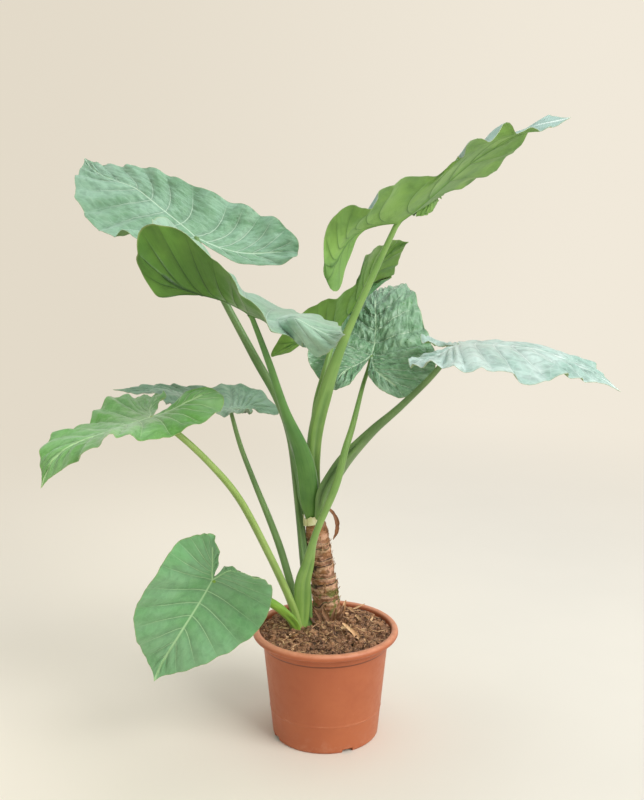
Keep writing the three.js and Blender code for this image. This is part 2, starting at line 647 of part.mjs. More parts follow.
function soilSolid(stems) {
  const random = randomFrom(SOIL_SEED);
  const inside = potInside().map(([r, z]) => [r - GAP - 0.05, z]);
  const walls = inside.slice(0, -1);
  walls[0] = [walls[0][0], POT_FLOOR + GAP];
  const edge = [POT_RIM_INNER - 1.2, SOIL_EDGE];
  const profile = [[0, POT_FLOOR + GAP], ...walls, edge];
  for (let k = SOIL_RINGS - 1; k >= 0; k -= 1) {
    const share = k / SOIL_RINGS;
    const height = SOIL_MOUND + (SOIL_EDGE - SOIL_MOUND) * share * share;
    profile.push([edge[0] * share, height]);
  }
  const bare = lathe(profile).getMesh();
  const positions = Array.from(bare.vertProperties);
  for (let i = 0; i < positions.length; i += 3) {
    const reach = Math.hypot(positions[i], positions[i + 1]);
    if (positions[i + 2] > SOIL_EDGE + 0.05 && reach < edge[0] - 5) {
      positions[i + 2] += (random() - 0.5) * 2 * SOIL_ROUGHNESS;
    }
  }
  let soil = toSolid(geometryFrom(positions, Array.from(bare.triVerts)));
  for (let k = 0; k < CHIP_COUNT; k += 1) {
    const reach = CHIP_REACH[0] + CHIP_REACH[1] * Math.sqrt(random());
    const around = random() * 2 * Math.PI;
    const share = reach / edge[0];
    const [length, width, height] = CHIP_SIZE;
    const chip = new THREE.BoxGeometry(length * (CHIP_LEAST + CHIP_SPREAD * random()), width, height);
    chip.rotateY((random() - 0.5) * CHIP_LEAN);
    chip.rotateZ(random() * Math.PI);
    chip.translate(
      reach * Math.cos(around),
      reach * Math.sin(around),
      SOIL_MOUND + (SOIL_EDGE - SOIL_MOUND) * share * share + CHIP_LIFT,
    );
    soil = soil.add(toSolid(chip));
  }
  for (const stem of stems) soil = soil.subtract(stem);
  return largest(soil);
}

// ---------------------------------------------------------------- old sheaths

// A thin closed shell over a grid of points: at(u, v) with u and v in 0..1
function shell(at, columns, rows, thickness) {
  const tops = [];
  const bottoms = [];
  const triangles = [];
  for (let j = 0; j <= rows; j += 1) {
    for (let i = 0; i <= columns; i += 1) {
      const [u, v] = [i / columns, j / rows];
      const point = at(u, v);
      const du = at(u + SHELL_STEP, v).sub(at(u - SHELL_STEP, v));
      const dv = at(u, v + SHELL_STEP).sub(at(u, v - SHELL_STEP));
      const normal = du.cross(dv).normalize();
      tops.push(point.clone().addScaledVector(normal, thickness / 2));
      bottoms.push(point.clone().addScaledVector(normal, -thickness / 2));
      if (i < columns && j < rows) {
        const a = j * (columns + 1) + i;
        const b = a + columns + 1;
        triangles.push([a, a + 1, b + 1], [a, b + 1, b]);
      }
    }
  }
  return toSolid(solidSheet(tops, bottoms, triangles));
}

function stubSolid() {
  const [x, y] = TRUNK_LINE[5];
  return shell((u, v) => {
    const angle = THREE.MathUtils.degToRad(STUB_FROM + (STUB_TO - STUB_FROM) * u);
    const dip = STUB_DIP * Math.exp(-(((u - STUB_DIP_PLACE) / STUB_DIP_WIDTH) ** 2));
    const height = STUB_HEIGHT * (1 - STUB_SLOPE * u - dip);
    const radius = STUB_RADIUS + STUB_FLARE * v;
    return new THREE.Vector3(
      x + radius * Math.cos(angle),
      y + radius * Math.sin(angle),
      STUB_BOTTOM + STUB_CLIMB * u + height * v,
    );
  }, STUB_COLUMNS, STUB_ROWS, STUB_THICKNESS);
}

function drySheathSolid() {
  const last = DRY_LINE.length - 1;
  return shell((u, v) => {
    const [x, y, z, half] = through(DRY_LINE, Math.min(last, Math.max(0, v * last)));
    const across = 2 * u - 1;
    const twist = DRY_TURN[0] + DRY_TURN[1] * v;
    return new THREE.Vector3(
      x + half * across * Math.cos(twist) + DRY_CUP * half * across * across,
      y - half * across * Math.sin(twist),
      z + (v < 0 ? -v : 0) - (v > 1 ? v - 1 : 0),
    );
  }, DRY_COLUMNS, DRY_ROWS, DRY_THICKNESS);
}

// ---------------------------------------------------------------- assembly

const materials = {};
for (const [name, colour] of Object.entries(COLOURS)) {
  materials[name] = { color: colour, roughness: name === 'pot' ? 0.5 : 0.65, metalness: 0 };
}

const plant = new THREE.Group();

// Adds one named mesh whose own origin is at the anchor point
function addPiece(name, solid, colourName, anchor = [0, 0, 0]) {
  const geometry = toGeometry(solid);
  geometry.translate(-anchor[0], -anchor[1], -anchor[2]);
  geometry.computeVertexNormals();
  const mesh = new THREE.Mesh(geometry, new THREE.MeshStandardMaterial(materials[colourName]));
  mesh.name = name;
  mesh.position.set(...anchor);
  plant.add(mesh);
}

const trunk = trunkSolid();
const fatTrunk = trunkSolid(GAP);
const fatStalks = {};
for (const number of Object.keys(LEAVES)) fatStalks[number] = petioleSolid(Number(number), GAP);

for (const order of [CROWN_ORDER, CLUMP_ORDER]) {
  order.forEach((number, place) => {
    const { stalk, stalkColour } = LEAVES[number];
    let solid = petioleSolid(number).subtract(bladeSolid(number, GAP)).subtract(fatTrunk);
    for (const earlier of order.slice(0, place)) solid = solid.subtract(fatStalks[earlier]);
    addPiece(`petiole_${number}`, largest(solid), stalkColour, stalk[stalk.length - 1].slice(0, 3));
  });
}

for (const [number, { colour, surface }] of Object.entries(LEAVES)) {
  addPiece(`blade_${number}`, bladeSolid(Number(number)), colour, surface.J);
}

addPiece('trunk', trunk, 'trunk', TRUNK_LINE[1].slice(0, 3));

let stub = stubSolid().subtract(fatTrunk);
let drySheath = drySheathSolid().subtract(fatTrunk);
for (const number of CROWN_ORDER) {
  stub = stub.subtract(fatStalks[number]);
  drySheath = drySheath.subtract(fatStalks[number]);
}
addPiece('sheath_stub', largest(stub), 'stub', [TRUNK_LINE[5][0], TRUNK_LINE[5][1], STUB_BOTTOM]);
addPiece('dry_sheath', largest(drySheath), 'dry', DRY_LINE[0].slice(0, 3));

addPiece('pot', potSolid(), 'pot');
addPiece('soil', soilSolid([fatTrunk, ...CLUMP_ORDER.map((number) => fatStalks[number])]), 'soil');

export default plant;
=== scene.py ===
# Looks of a potted alocasia: fine blades, stalks, trunk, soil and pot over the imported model.
# Shapes are worked out in millimetres in the model's own frame and written in metres.
import math

import bmesh
import bpy
import numpy as np
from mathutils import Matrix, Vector


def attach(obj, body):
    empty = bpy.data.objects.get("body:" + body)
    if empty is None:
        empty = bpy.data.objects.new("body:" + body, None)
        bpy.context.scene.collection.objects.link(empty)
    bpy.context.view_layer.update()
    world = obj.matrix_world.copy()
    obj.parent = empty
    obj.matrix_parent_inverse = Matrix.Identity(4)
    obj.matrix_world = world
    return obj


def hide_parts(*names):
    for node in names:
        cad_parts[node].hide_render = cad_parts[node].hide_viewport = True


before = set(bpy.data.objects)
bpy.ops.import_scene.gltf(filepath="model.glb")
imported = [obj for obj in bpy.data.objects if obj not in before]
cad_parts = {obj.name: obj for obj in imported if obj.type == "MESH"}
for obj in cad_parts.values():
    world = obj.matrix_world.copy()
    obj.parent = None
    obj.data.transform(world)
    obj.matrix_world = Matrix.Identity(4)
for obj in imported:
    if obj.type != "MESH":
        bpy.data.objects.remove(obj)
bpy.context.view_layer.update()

MM = 0.001

# ---------------------------------------------------------------- shared dimensions, millimetres

# Flat half outline of a leaf in leaf lengths, from tip to sinus, and the rib of its rear lobe
OUTLINE = [
    (1, 0), (0.93, 0.03), (0.84, 0.1), (0.66, 0.23), (0.43, 0.345), (0.18, 0.415), (-0.06, 0.435),
    (-0.22, 0.41), (-0.34, 0.34), (-0.41, 0.24), (-0.38, 0.14), (-0.22, 0.06), (-0.03, 0),
]
LOBE_RIB = [(0, 0), (-0.1, 0.06), (-0.22, 0.137), (-0.34, 0.205)]
WIDEST = 6  # index of the outline's widest place
FRONT_ROWS = 16  # rows from the tip to the widest place
LOBE_ROWS = 6  # rows on to the end of a rear lobe, and again to the sinus
LAST_ROW = FRONT_ROWS + 2 * LOBE_ROWS
TIP_ORIGIN = 0.985
TIP_MARGIN = 0.15
VEIN_SWEEP = 0.35
ROW_CROWDING = 1.05  # rows crowd this much towards the tip along the rib
MARGIN_CROWDING = 1.2  # and this much along the margin
QUILT_RISE = 2.2
BLADE_THICKNESS = 1.1
MIDRIB_RISE = 3.0
VEIN_RISE = 1.1
WAVE_SEED = 7919
WAVE_LEAST = 0.25  # each row's crest is drawn between this share and the whole of the leaf's wave height
WAVE_STRAY = 0.7  # how much a row strays from the even up and down
WAVE_INNER = 0.45  # share of the way from rib to margin where the waves begin
WAVE_TIP = (3, 10)  # rows over which the waves grow from the tip
WAVE_SINUS = 5  # rows over which they die out at the sinus
LOBE_BLEND = 3  # rows before and behind the widest one over which a rear lobe's own waves set in
SCALLOP = 0.0022  # how much further out a full crest reaches, as a share for each mm of wave
SWELL = 0.001  # the same for the margin between two veins
RAGGED = 0.0065  # uneven reach of the margin, as a share
FRILL_LEAST = 0.4  # small waves of the margin
FRILL_SHARE = 0.3  # and their share of the leaf's large waves
PUCKER_LENGTH = 14
FINE_PUCKERS = 0.5  # height of the finer puckers as a share of the larger ones
VEIN_FIELD = (3, 24)  # distances between veins over which puckers and puffs grow to their height
PUFF_ENDS = 3  # rows at the tip and the sinus over which puffs, puckers and veins set in
ROW_STEP = 0.05  # share of a row to each side, to measure the distance between rows
LOBE_LENGTH = 0.34
VEIN_WIDTH = 1.5
JOINT_RISE = 2.5  # swelling under the blade where the stalk joins it
JOINT_WIDTH = 8
MIDRIB_GROOVE = 0.7
TIP_THICKNESS = 0.6
BLADE_SHARP = 65
PLATE_STEP = 0.01  # flat distance over which the direction of a bent leaf is measured
PLATE_FINE_STEP = 0.004

# Places inside one interval between side veins, close together beside the vein
FRONT_STEPS = [0, 0.025, 0.07, 0.15, 0.27, 0.4, 0.5, 0.6, 0.73, 0.85, 0.93, 0.975]
LOBE_STEPS = [0, 0.05, 0.14, 0.3, 0.5, 0.7, 0.86, 0.95]
NEAR_RIB = [0, 0.008, 0.02, 0.038, 0.06, 0.09]
TO_MARGIN = (0.13, 0.985, 24)  # the first and last share, and how many columns, out to near the margin

# Each leaf: its waves and looks, the places in space of named points of its flat outline (J at the stalk,
# M half way to the tip, T the tip, R and L with an outline index), and its stalk from the blade down as
# (x, y, z, half width, half depth)
LEAVES = {
    1: dict(
        wave=8, pucker=1.8, quilt=1.3, facing=(-0.6, -0.8), look="silver", stalk_look="dark",
        surface=dict(
            J=(-270, 170, 1015), M=(-415, 295, 1115), T=(-550, 440, 1180), R2=(-500, 400, 1165),
            R3=(-435, 355, 1160), R5=(-295, 270, 1125), R6=(-205, 225, 1090), R7=(-135, 205, 1060),
            R8=(-80, 175, 1035), R9=(-55, 160, 985), R10=(-95, 150, 960), R11=(-180, 135, 965),
            L2=(-550, 365, 1145), L3=(-540, 295, 1095), L4=(-500, 225, 1045), L5=(-443, 150, 1022),
            L6=(-386, 95, 1022), L7=(-344, 35, 980), L9=(-280, -15, 920), L11=(-250, 85, 965),
        ),
        stalk=[
            (-270, 170, 1016, 5.5, 5), (-252, 150, 981, 6.5, 6), (-213, 110, 902, 7.5, 7),
            (-147, 80, 782, 9, 8), (-98, 72, 692, 9.5, 8), (-71, 66, 610, 9.5, 8), (-57, 62, 486, 9, 8),
            (-47, 48, 381, 9, 8), (-38, 26, 279, 10, 8), (-36, 18, 185, 9, 7),
        ],
    ),
    2: dict(
        wave=5, pucker=0.6, facing=(-0.35, -0.94), look="shaded", stalk_look="clasping",
        surface=dict(
            J=(-135, -160, 895), M=(-50, -280, 900), T=(30, -405, 890), R2=(15, -360, 865),
            R3=(-15, -325, 842), R4=(-43, -280, 860), R5=(-80, -290, 879), R6=(-140, -330, 950),
            R7=(-190, -285, 1005), R8=(-285, -255, 1061), R9=(-324, -245, 1012), R10=(-294, -230, 939),
            R11=(-215, -190, 935), L3=(20, -205, 880), L5=(-80, -10, 887), L6=(-155, -15, 927),
            L7=(-205, -25, 976), L9=(-315, -90, 1065), L11=(-225, -145, 955),
        ),
        stalk=[
            (-136, -160, 895, 4.5, 4.5), (-106, -115, 799, 6.5, 6), (-79, -60, 696, 9.5, 8),
            (-49, -8, 600, 20, 12), (-37, 18, 535, 23, 14), (-35, 34, 489, 20, 13), (-28, 46, 438, 11, 9),
        ],
    ),
    3: dict(
        wave=10, lobe_waves=(1, 0.15), pucker=0.2, quilt=0.3, facing=(0.2, -0.98), look="tall",
        stalk_look="light",
        surface=dict(
            J=(135, -60, 1055), M=(270, -80, 1165), T=(441, -95, 1241), R1=(415, -112, 1226),
            R2=(382, -125, 1219), R3=(316, -170, 1214), R4=(240, -245, 1185), R5=(195, -165, 1140),
            R6=(110, -220, 1130), R7=(75, -240, 1085), R8=(20, -210, 1075), R9=(-5, -195, 990),
            R10=(16, -175, 937), R11=(60, -105, 1030), L1=(419, -78, 1243), L2=(393, -65, 1240),
            L3=(345, 0, 1171), L4=(300, 85, 1130), L5=(235, 15, 1111), L7=(223, 105, 1089),
            L8=(211, 60, 1071), L9=(190, 20, 1063), L10=(173, 8, 1065), L11=(160, 4, 1068),
        ),
        stalk=[
            (135, -60, 1056, 5, 5), (87, -60, 951, 6.5, 6), (39, -50, 840, 8, 7.5), (7, -30, 749, 13, 9),
            (-18, 2, 652, 14, 10), (-26, 30, 573, 14, 11), (-25, 46, 506, 14, 11), (-20, 54, 434, 12, 10),
        ],
    ),
    4: dict(
        wave=4, pucker=4.8, quilt=1.4, facing=(0.3, -0.95), look="puckered", stalk_look="light",
        surface=dict(
            J=(95, 90, 780), M=(105, 170, 875), T=(120, 350, 880), R3=(170, 230, 910), R4=(190, 165, 890),
            R5=(200, 105, 845), R7=(218, 20, 778), R8=(205, 10, 740), R9=(155, -5, 710), R10=(110, -5, 725),
            R11=(85, 30, 750), L3=(70, 240, 890), L5=(35, 150, 835), L7=(-35, 45, 800), L8=(-25, 25, 758),
            L9=(15, 10, 723), L10=(50, 0, 739), L11=(70, 40, 755),
        ),
        stalk=[
            (95, 91, 780, 4, 4), (87, 76, 752, 4.2, 4.2), (74, 45, 719, 4.5, 4.5), (54, -10, 655, 6, 5.5),
            (39, -35, 612, 7, 6.5), (19, -45, 538, 8, 7), (-19, -38, 441, 7, 6.5), (-35, -24, 375, 12, 7),
            (-47, -14, 325, 16, 8), (-49, 0, 259, 15, 8), (-51, 6, 185, 10, 7),
        ],
    ),
    5: dict(
        wave=8, pucker=1.2, quilt=2.2, facing=(0.6, -0.8), look="waxy_painted_sheen", stalk_look="dark",
        surface=dict(
            J=(250, -100, 830), M=(394, -75, 817), T=(555, -105, 740), R1=(524, -108, 755),
            R2=(484, -120, 763), R3=(440, -150, 780), R4=(370, -195, 770), R5=(305, -230, 803),
            R6=(242, -260, 809), R7=(200, -250, 815), R9=(150, -190, 805), R11=(205, -135, 820),
            L2=(524, -45, 774), L3=(489, -5, 786), L4=(441, 25, 796), L5=(370, 25, 804), L7=(255, 40, 792),
            L9=(190, 5, 827), L11=(220, -50, 820),
        ),
        stalk=[
            (250, -99, 831, 4.5, 4.5), (198, -75, 761, 6, 5.5), (144, -50, 700, 7.5, 6.5),
            (93, -28, 648, 11, 8), (39, -3, 581, 17, 9), (3, 12, 517, 19, 10), (-7, 24, 476, 16, 9),
            (-13, 39, 440, 10, 9),
        ],
    ),
    6: dict(
        wave=3, pucker=0.5, facing=(-0.8, 0.6), look="deep", stalk_look="light",
        surface=dict(
            J=(25, 60, 845), M=(90, 65, 950), T=(165, 70, 1010), R2=(140, 45, 1015), R3=(100, 0, 1005),
            R4=(75, -60, 985), R5=(60, 5, 940), R6=(20, -35, 908), R7=(-15, -35, 900), R8=(-70, -25, 854),
            R9=(-105, -30, 798), R10=(-70, -20, 803), R11=(-25, 15, 825), L2=(155, 95, 990),
            L3=(145, 135, 955), L4=(140, 190, 930), L5=(115, 115, 930), L7=(45, 190, 885), L9=(25, 225, 845),
        ),
        stalk=[
            (25, 60, 846, 4.5, 4.5), (10, 28, 799, 5.5, 5), (-5, 0, 748, 7, 6), (-18, 15, 690, 8, 7),
            (-25, 46, 591, 9, 8), (-24, 62, 502, 10, 8), (-20, 62, 436, 9, 8),
        ],
    ),
    7: dict(
        wave=6, pucker=1.4, quilt=1.4, facing=(-0.9, -0.4), look="fresh", stalk_look="olive",
        surface=dict(
            J=(-330, -120, 695), M=(-415, -215, 680), T=(-505, -255, 595), L2=(-465, -265, 630),
            L3=(-420, -295, 665), L4=(-365, -315, 705), L5=(-330, -255, 685), L6=(-275, -225, 685),
            L7=(-220, -205, 710), L8=(-190, -165, 720), L9=(-200, -140, 750), L10=(-245, -130, 750),
            L11=(-285, -125, 720), R2=(-510, -230, 645), R3=(-495, -175, 675), R4=(-455, -120, 680),
            R5=(-440, -55, 695), R6=(-415, 5, 710), R7=(-380, 30, 705), R9=(-325, 15, 715),
            R11=(-325, -60, 700),
        ),
        stalk=[
            (-331, -120, 696, 5, 5), (-282, -112, 663, 6.5, 6), (-221, -95, 598, 7, 6.5),
            (-167, -70, 519, 7.5, 7), (-115, -40, 402, 8.5, 7.5), (-72, -12, 290, 10, 8),
            (-56, 0, 233, 11, 8), (-52, 2, 190, 9, 7),
        ],
    ),
    8: dict(
        wave=5, pucker=1.6, quilt=1.6, facing=(-0.9, 0.3), look="dusky", stalk_look="dark",
        surface=dict(
            J=(-195, 60, 675), M=(-325, 165, 690), T=(-450, 155, 695), L2=(-395, 130, 690),
            L3=(-355, 95, 700), L5=(-295, -25, 695), L7=(-195, -70, 690), L9=(-145, -50, 690),
            R2=(-405, 190, 695), R3=(-370, 230, 690), R5=(-255, 170, 700), R6=(-200, 190, 700),
            R7=(-160, 180, 695), R8=(-120, 165, 675), R9=(-100, 140, 645), R10=(-135, 120, 655),
            R11=(-160, 90, 665),
        ),
        stalk=[
            (-195, 60, 676, 4, 4), (-174, 50, 600, 5, 5), (-147, 41, 528, 6, 5.5), (-116, 36, 449, 8, 6.5),
            (-92, 31, 382, 10, 7), (-73, 25, 314, 12, 7), (-60, 20, 254, 11, 7), (-53, 16, 190, 9, 6),
        ],
    ),
    9: dict(
        wave=3, pucker=0.9, quilt=1.5, facing=(-0.7, -0.7), look="middle", stalk_look="bright",
        surface=dict(
            J=(-215, -150, 385), M=(-275, -155, 285), T=(-335, -135, 170), R2=(-350, -135, 220),
            R3=(-360, -165, 270), R4=(-360, -190, 330), R5=(-335, -210, 385), R6=(-300, -225, 440),
            R7=(-270, -210, 480), R8=(-230, -210, 495), R9=(-205, -215, 495), R10=(-195, -220, 465),
            R11=(-200, -185, 425), L2=(-290, -140, 190), L3=(-235, -155, 215), L4=(-180, -155, 245),
            L5=(-130, -170, 290), L6=(-105, -190, 345), L7=(-100, -205, 390), L8=(-115, -230, 415),
            L9=(-145, -245, 430), L10=(-170, -230, 440), L11=(-190, -190, 425),
        ),
        stalk=[
            (-215, -150, 385, 5, 5), (-189, -120, 363, 7, 6.5), (-152, -95, 339, 9, 8),
            (-115, -60, 307, 10, 9), (-86, -35, 275, 11, 9), (-64, -12, 238, 12, 9), (-56, -6, 195, 10, 7),
        ],
    ),
}

# ---------------------------------------------------------------- numbers


def smooth(low, high, value):
    u = np.clip((value - low) / (high - low), 0, 1)
    return u * u * (3 - 2 * u)


def rows_of(*columns):
    """Rows of numbers from columns; single numbers are repeated."""
    return np.stack(np.broadcast_arrays(*columns), -1)


def through(points, t):
    """Smooth curve through rows of numbers, for an array of t from 0 to the last index."""
    points = np.asarray(points, float)
    t = np.asarray(t, float)
    i = np.clip(np.floor(t).astype(int), 0, len(points) - 2)
    u = (t - i)[..., None]
    padded = np.vstack([2 * points[0] - points[1], points, 2 * points[-1] - points[-2]])
    p0, p1, p2, p3 = padded[i], padded[i + 1], padded[i + 2], padded[i + 3]
    return 0.5 * (2 * p1 + (p2 - p0) * u + (2 * p0 - 5 * p1 + 4 * p2 - p3) * u ** 2
                  + (3 * p1 - p0 - 3 * p2 + p3) * u ** 3)


def random_from(seed):
    """Repeatable random numbers in 0..1."""
    state = seed

    def draw():
        nonlocal state
        state = (state * 1664525 + 1013904223) % 2 ** 32
        return state / 2 ** 32
    return draw


def scatter(draw, farthest):
    """A random place in plan: its distance from the middle, x and y."""
    reach = farthest * math.sqrt(draw())
    around = draw() * 2 * math.pi
    return reach, reach * math.cos(around), reach * math.sin(around)


def lattice(cell, seed):
    mixed = (cell[..., 0] * 374761393 + cell[..., 1] * 668265263 + cell[..., 2] * 69069 + seed * 362437)
    mixed = mixed & 0xFFFFFFFF
    mixed = ((mixed ^ (mixed >> 13)) * 1274126177) & 0xFFFFFFFF
    return ((mixed ^ (mixed >> 16)) & 0xFFFF) / 32767.5 - 1


def noise(points, seed):
    """Smooth noise in -1..1 at rows of three numbers."""
    points = np.asarray(points, float)
    base = np.floor(points).astype(np.int64)
    u = points - base
    u = u * u * u * (u * (u * 6 - 15) + 10)
    total = 0
    for corner in range(8):
        step = np.array([corner & 1, corner >> 1 & 1, corner >> 2 & 1])
        weight = np.prod(np.where(step, u, 1 - u), axis=-1)
        total = total + weight * lattice(base + step, seed)
    return total


def layered(points, seed, layers):
    """Noise with finer noise on it, each layer about half as large and half as high."""
    total, size, amount = 0, 1.0, 1.0
    for k in range(layers):
        total = total + noise(points * size, seed + k) * amount
        size *= 2.1
        amount *= 0.5
    return total


def unit(rows):
    return rows / np.maximum(np.linalg.norm(rows, axis=-1, keepdims=True), 1e-9)


# ---------------------------------------------------------------- materials


def linear(colour):
    """Colour as seen on a screen, 0..255, to the scene's linear one."""
    out = []
    for level in colour:
        level /= 255
        out.append(level / 12.92 if level <= 0.04045 else ((level + 0.055) / 1.055) ** 2.4)
    return (*out, 1.0)


class Nodes:
    """Short ways to add nodes to a tree. Colours are sockets or screen colours."""

    def __init__(self, tree):
        self.tree = tree

    def node(self, kind, inputs=None, **settings):
        made = self.tree.nodes.new(kind)
        for key, value in settings.items():
            setattr(made, key, value)
        for key, value in (inputs or {}).items():
            self.plug(made.inputs[key], value)
        return made

    def plug(self, socket, value):
        if isinstance(value, bpy.types.NodeSocket):
            self.tree.links.new(value, socket)
        else:
            socket.default_value = value

    def calc(self, operation, first, second=0.0, third=0.0, clamp=False):
        inputs = {0: first, 1: second, 2: third}
        return self.node("ShaderNodeMath", inputs, operation=operation, use_clamp=clamp).outputs[0]

    def times(self, first, second):
        return self.calc("MULTIPLY", first, second)

    def ramp(self, value, low, high, at_low=0.0, at_high=1.0):
        inputs = {"Value": value, "From Min": low, "From Max": high, "To Min": at_low, "To Max": at_high}
        return self.node("ShaderNodeMapRange", inputs, interpolation_type="SMOOTHSTEP").outputs[0]

    def mix(self, share, first, second):
        made = self.node("ShaderNodeMix", {"Factor": share}, data_type="RGBA")
        for key, colour in ((6, first), (7, second)):
            self.plug(made.inputs[key], linear(colour) if isinstance(colour, tuple) else colour)
        return made.outputs[2]

    def axis(self, vector, name):
        return self.node("ShaderNodeSeparateXYZ", {0: vector}).outputs[name]

    def stretch(self, where, scale):
        return self.node("ShaderNodeMapping", {"Vector": where, "Scale": scale}).outputs[0]

    def cloud(self, where, scale, detail=3.0, rough=0.5, twist=0.0):
        return self.node("ShaderNodeTexNoise", {
            "Vector": where, "Scale": scale, "Detail": detail, "Roughness": rough, "Distortion": twist,
        }).outputs["Fac"]

    def cells(self, where, scale, feature="F1", chaos=1.0):
        inputs = {"Vector": where, "Scale": scale, "Randomness": chaos}
        return self.node("ShaderNodeTexVoronoi", inputs, feature=feature).outputs["Distance"]


class Paint(Nodes):
    """A material whose colour and relief are built up one coat and one dent after the other."""

    def __init__(self, name):
        self.material = bpy.data.materials.new(name)
        self.material.use_nodes = True
        super().__init__(self.material.node_tree)
        self.shader = self.tree.nodes["Principled BSDF"]
        self.space = self.node("ShaderNodeTexCoord").outputs["Object"]  # metres
        self.colour = None
        self.relief = None

    def attribute(self, name):
        """A tag of the mesh as a vector, and its three numbers."""
        vector = self.node("ShaderNodeAttribute", attribute_name=name).outputs["Vector"]
        return vector, self.node("ShaderNodeSeparateXYZ", {0: vector}).outputs

    def ground(self, share, first, second):
        self.colour = self.mix(share, first, second)

    def coat(self, share, colour):
        self.colour = self.mix(share, self.colour, colour)

    def dent(self, height, strength, distance):
        made = self.node("ShaderNodeBump", {"Height": height, "Strength": strength, "Distance": distance})
        if self.relief is not None:
            self.plug(made.inputs["Normal"], self.relief)
        self.relief = made.outputs[0]

    def finish(self, roughness, **even):
        """Plugs in colour, roughness and relief, and sets sockets that are even all over."""
        inputs = self.shader.inputs
        self.plug(inputs["Base Color"], self.colour)
        self.plug(inputs["Roughness"], roughness)
        if self.relief is not None:
            self.plug(inputs["Normal"], self.relief)
        for key, value in even.items():
            inputs[key.replace("_", " ")].default_value = value
        return self.material


# Leaves: colours of the upper and the under side, each with a second tone and the veins' tone (also the
# painted highlight on the puckers), then the puckers' height in metres, how strongly they are coloured with
# painted highlight and shade, the bloom on top and the roughness
LOOKS = {
    "silver": (
        (144, 184, 158), (112, 158, 120), (186, 214, 188), (84, 128, 58), (104, 150, 66), (58, 98, 44),
        0.0014, 0.24, 0.32, 0.42,
    ),
    "shaded": (
        (150, 184, 160), (138, 178, 144), (184, 210, 186), (74, 118, 42), (96, 140, 54), (44, 78, 32),
        0.0008, 0.15, 0.45, 0.4,
    ),
    "tall": (
        (152, 182, 174), (138, 172, 158), (206, 222, 216), (106, 148, 78), (134, 176, 86), (84, 124, 60),
        0.0004, 0.08, 0.25, 0.6,
    ),
    # the paler upper tones of this look are painted sheen over the waxy bloom's own colour
    "waxy_painted_sheen": (
        (206, 226, 222), (150, 186, 174), (222, 236, 232), (92, 136, 66), (118, 160, 78), (66, 104, 50),
        0.0014, 0.3, 0.6, 0.36,
    ),
    "puckered": (
        (146, 184, 155), (112, 160, 118), (196, 222, 190), (70, 118, 66), (90, 140, 76), (60, 106, 50),
        0.0065, 0.34, 0.25, 0.25,
    ),
    "dusky": (
        (150, 188, 160), (104, 150, 112), (172, 206, 172), (72, 112, 66), (92, 130, 80), (62, 98, 54),
        0.0022, 0.32, 0.25, 0.38,
    ),
    "deep": (
        (92, 142, 92), (80, 134, 80), (140, 184, 120), (96, 136, 56), (112, 152, 66), (76, 116, 48),
        0.0008, 0.15, 0.15, 0.42,
    ),
    "fresh": (
        (138, 188, 126), (96, 160, 62), (184, 220, 160), (92, 146, 48), (112, 164, 60), (78, 126, 44),
        0.0012, 0.16, 0.35, 0.33,
    ),
    "middle": (
        (122, 173, 128), (104, 164, 106), (170, 212, 160), (90, 138, 66), (104, 152, 74), (72, 116, 52),
        0.001, 0.14, 0.12, 0.34,
    ),
}

# Stalks: main tone, second tone, tone of the foot, dark lines (also the painted shade in the sheath groove)
STALK_LOOKS = {
    "clasping": ((78, 128, 60), (98, 146, 70), (120, 166, 72), (54, 100, 48)),
    "olive": ((144, 174, 92), (160, 188, 106), (160, 204, 86), (112, 148, 68)),
    "light": ((118, 158, 80), (138, 174, 94), (154, 196, 92), (86, 128, 60)),
    "dark": ((98, 132, 76), (118, 152, 90), (122, 168, 76), (74, 106, 60)),
    "bright": ((112, 160, 54), (132, 176, 66), (150, 196, 72), (80, 130, 40)),
}
BLOOM_TINT = (222, 238, 238)
SPECK = (52, 62, 38)
RIM_TINT = (62, 60, 18)
STALK_FOOT = (186, 206, 116)


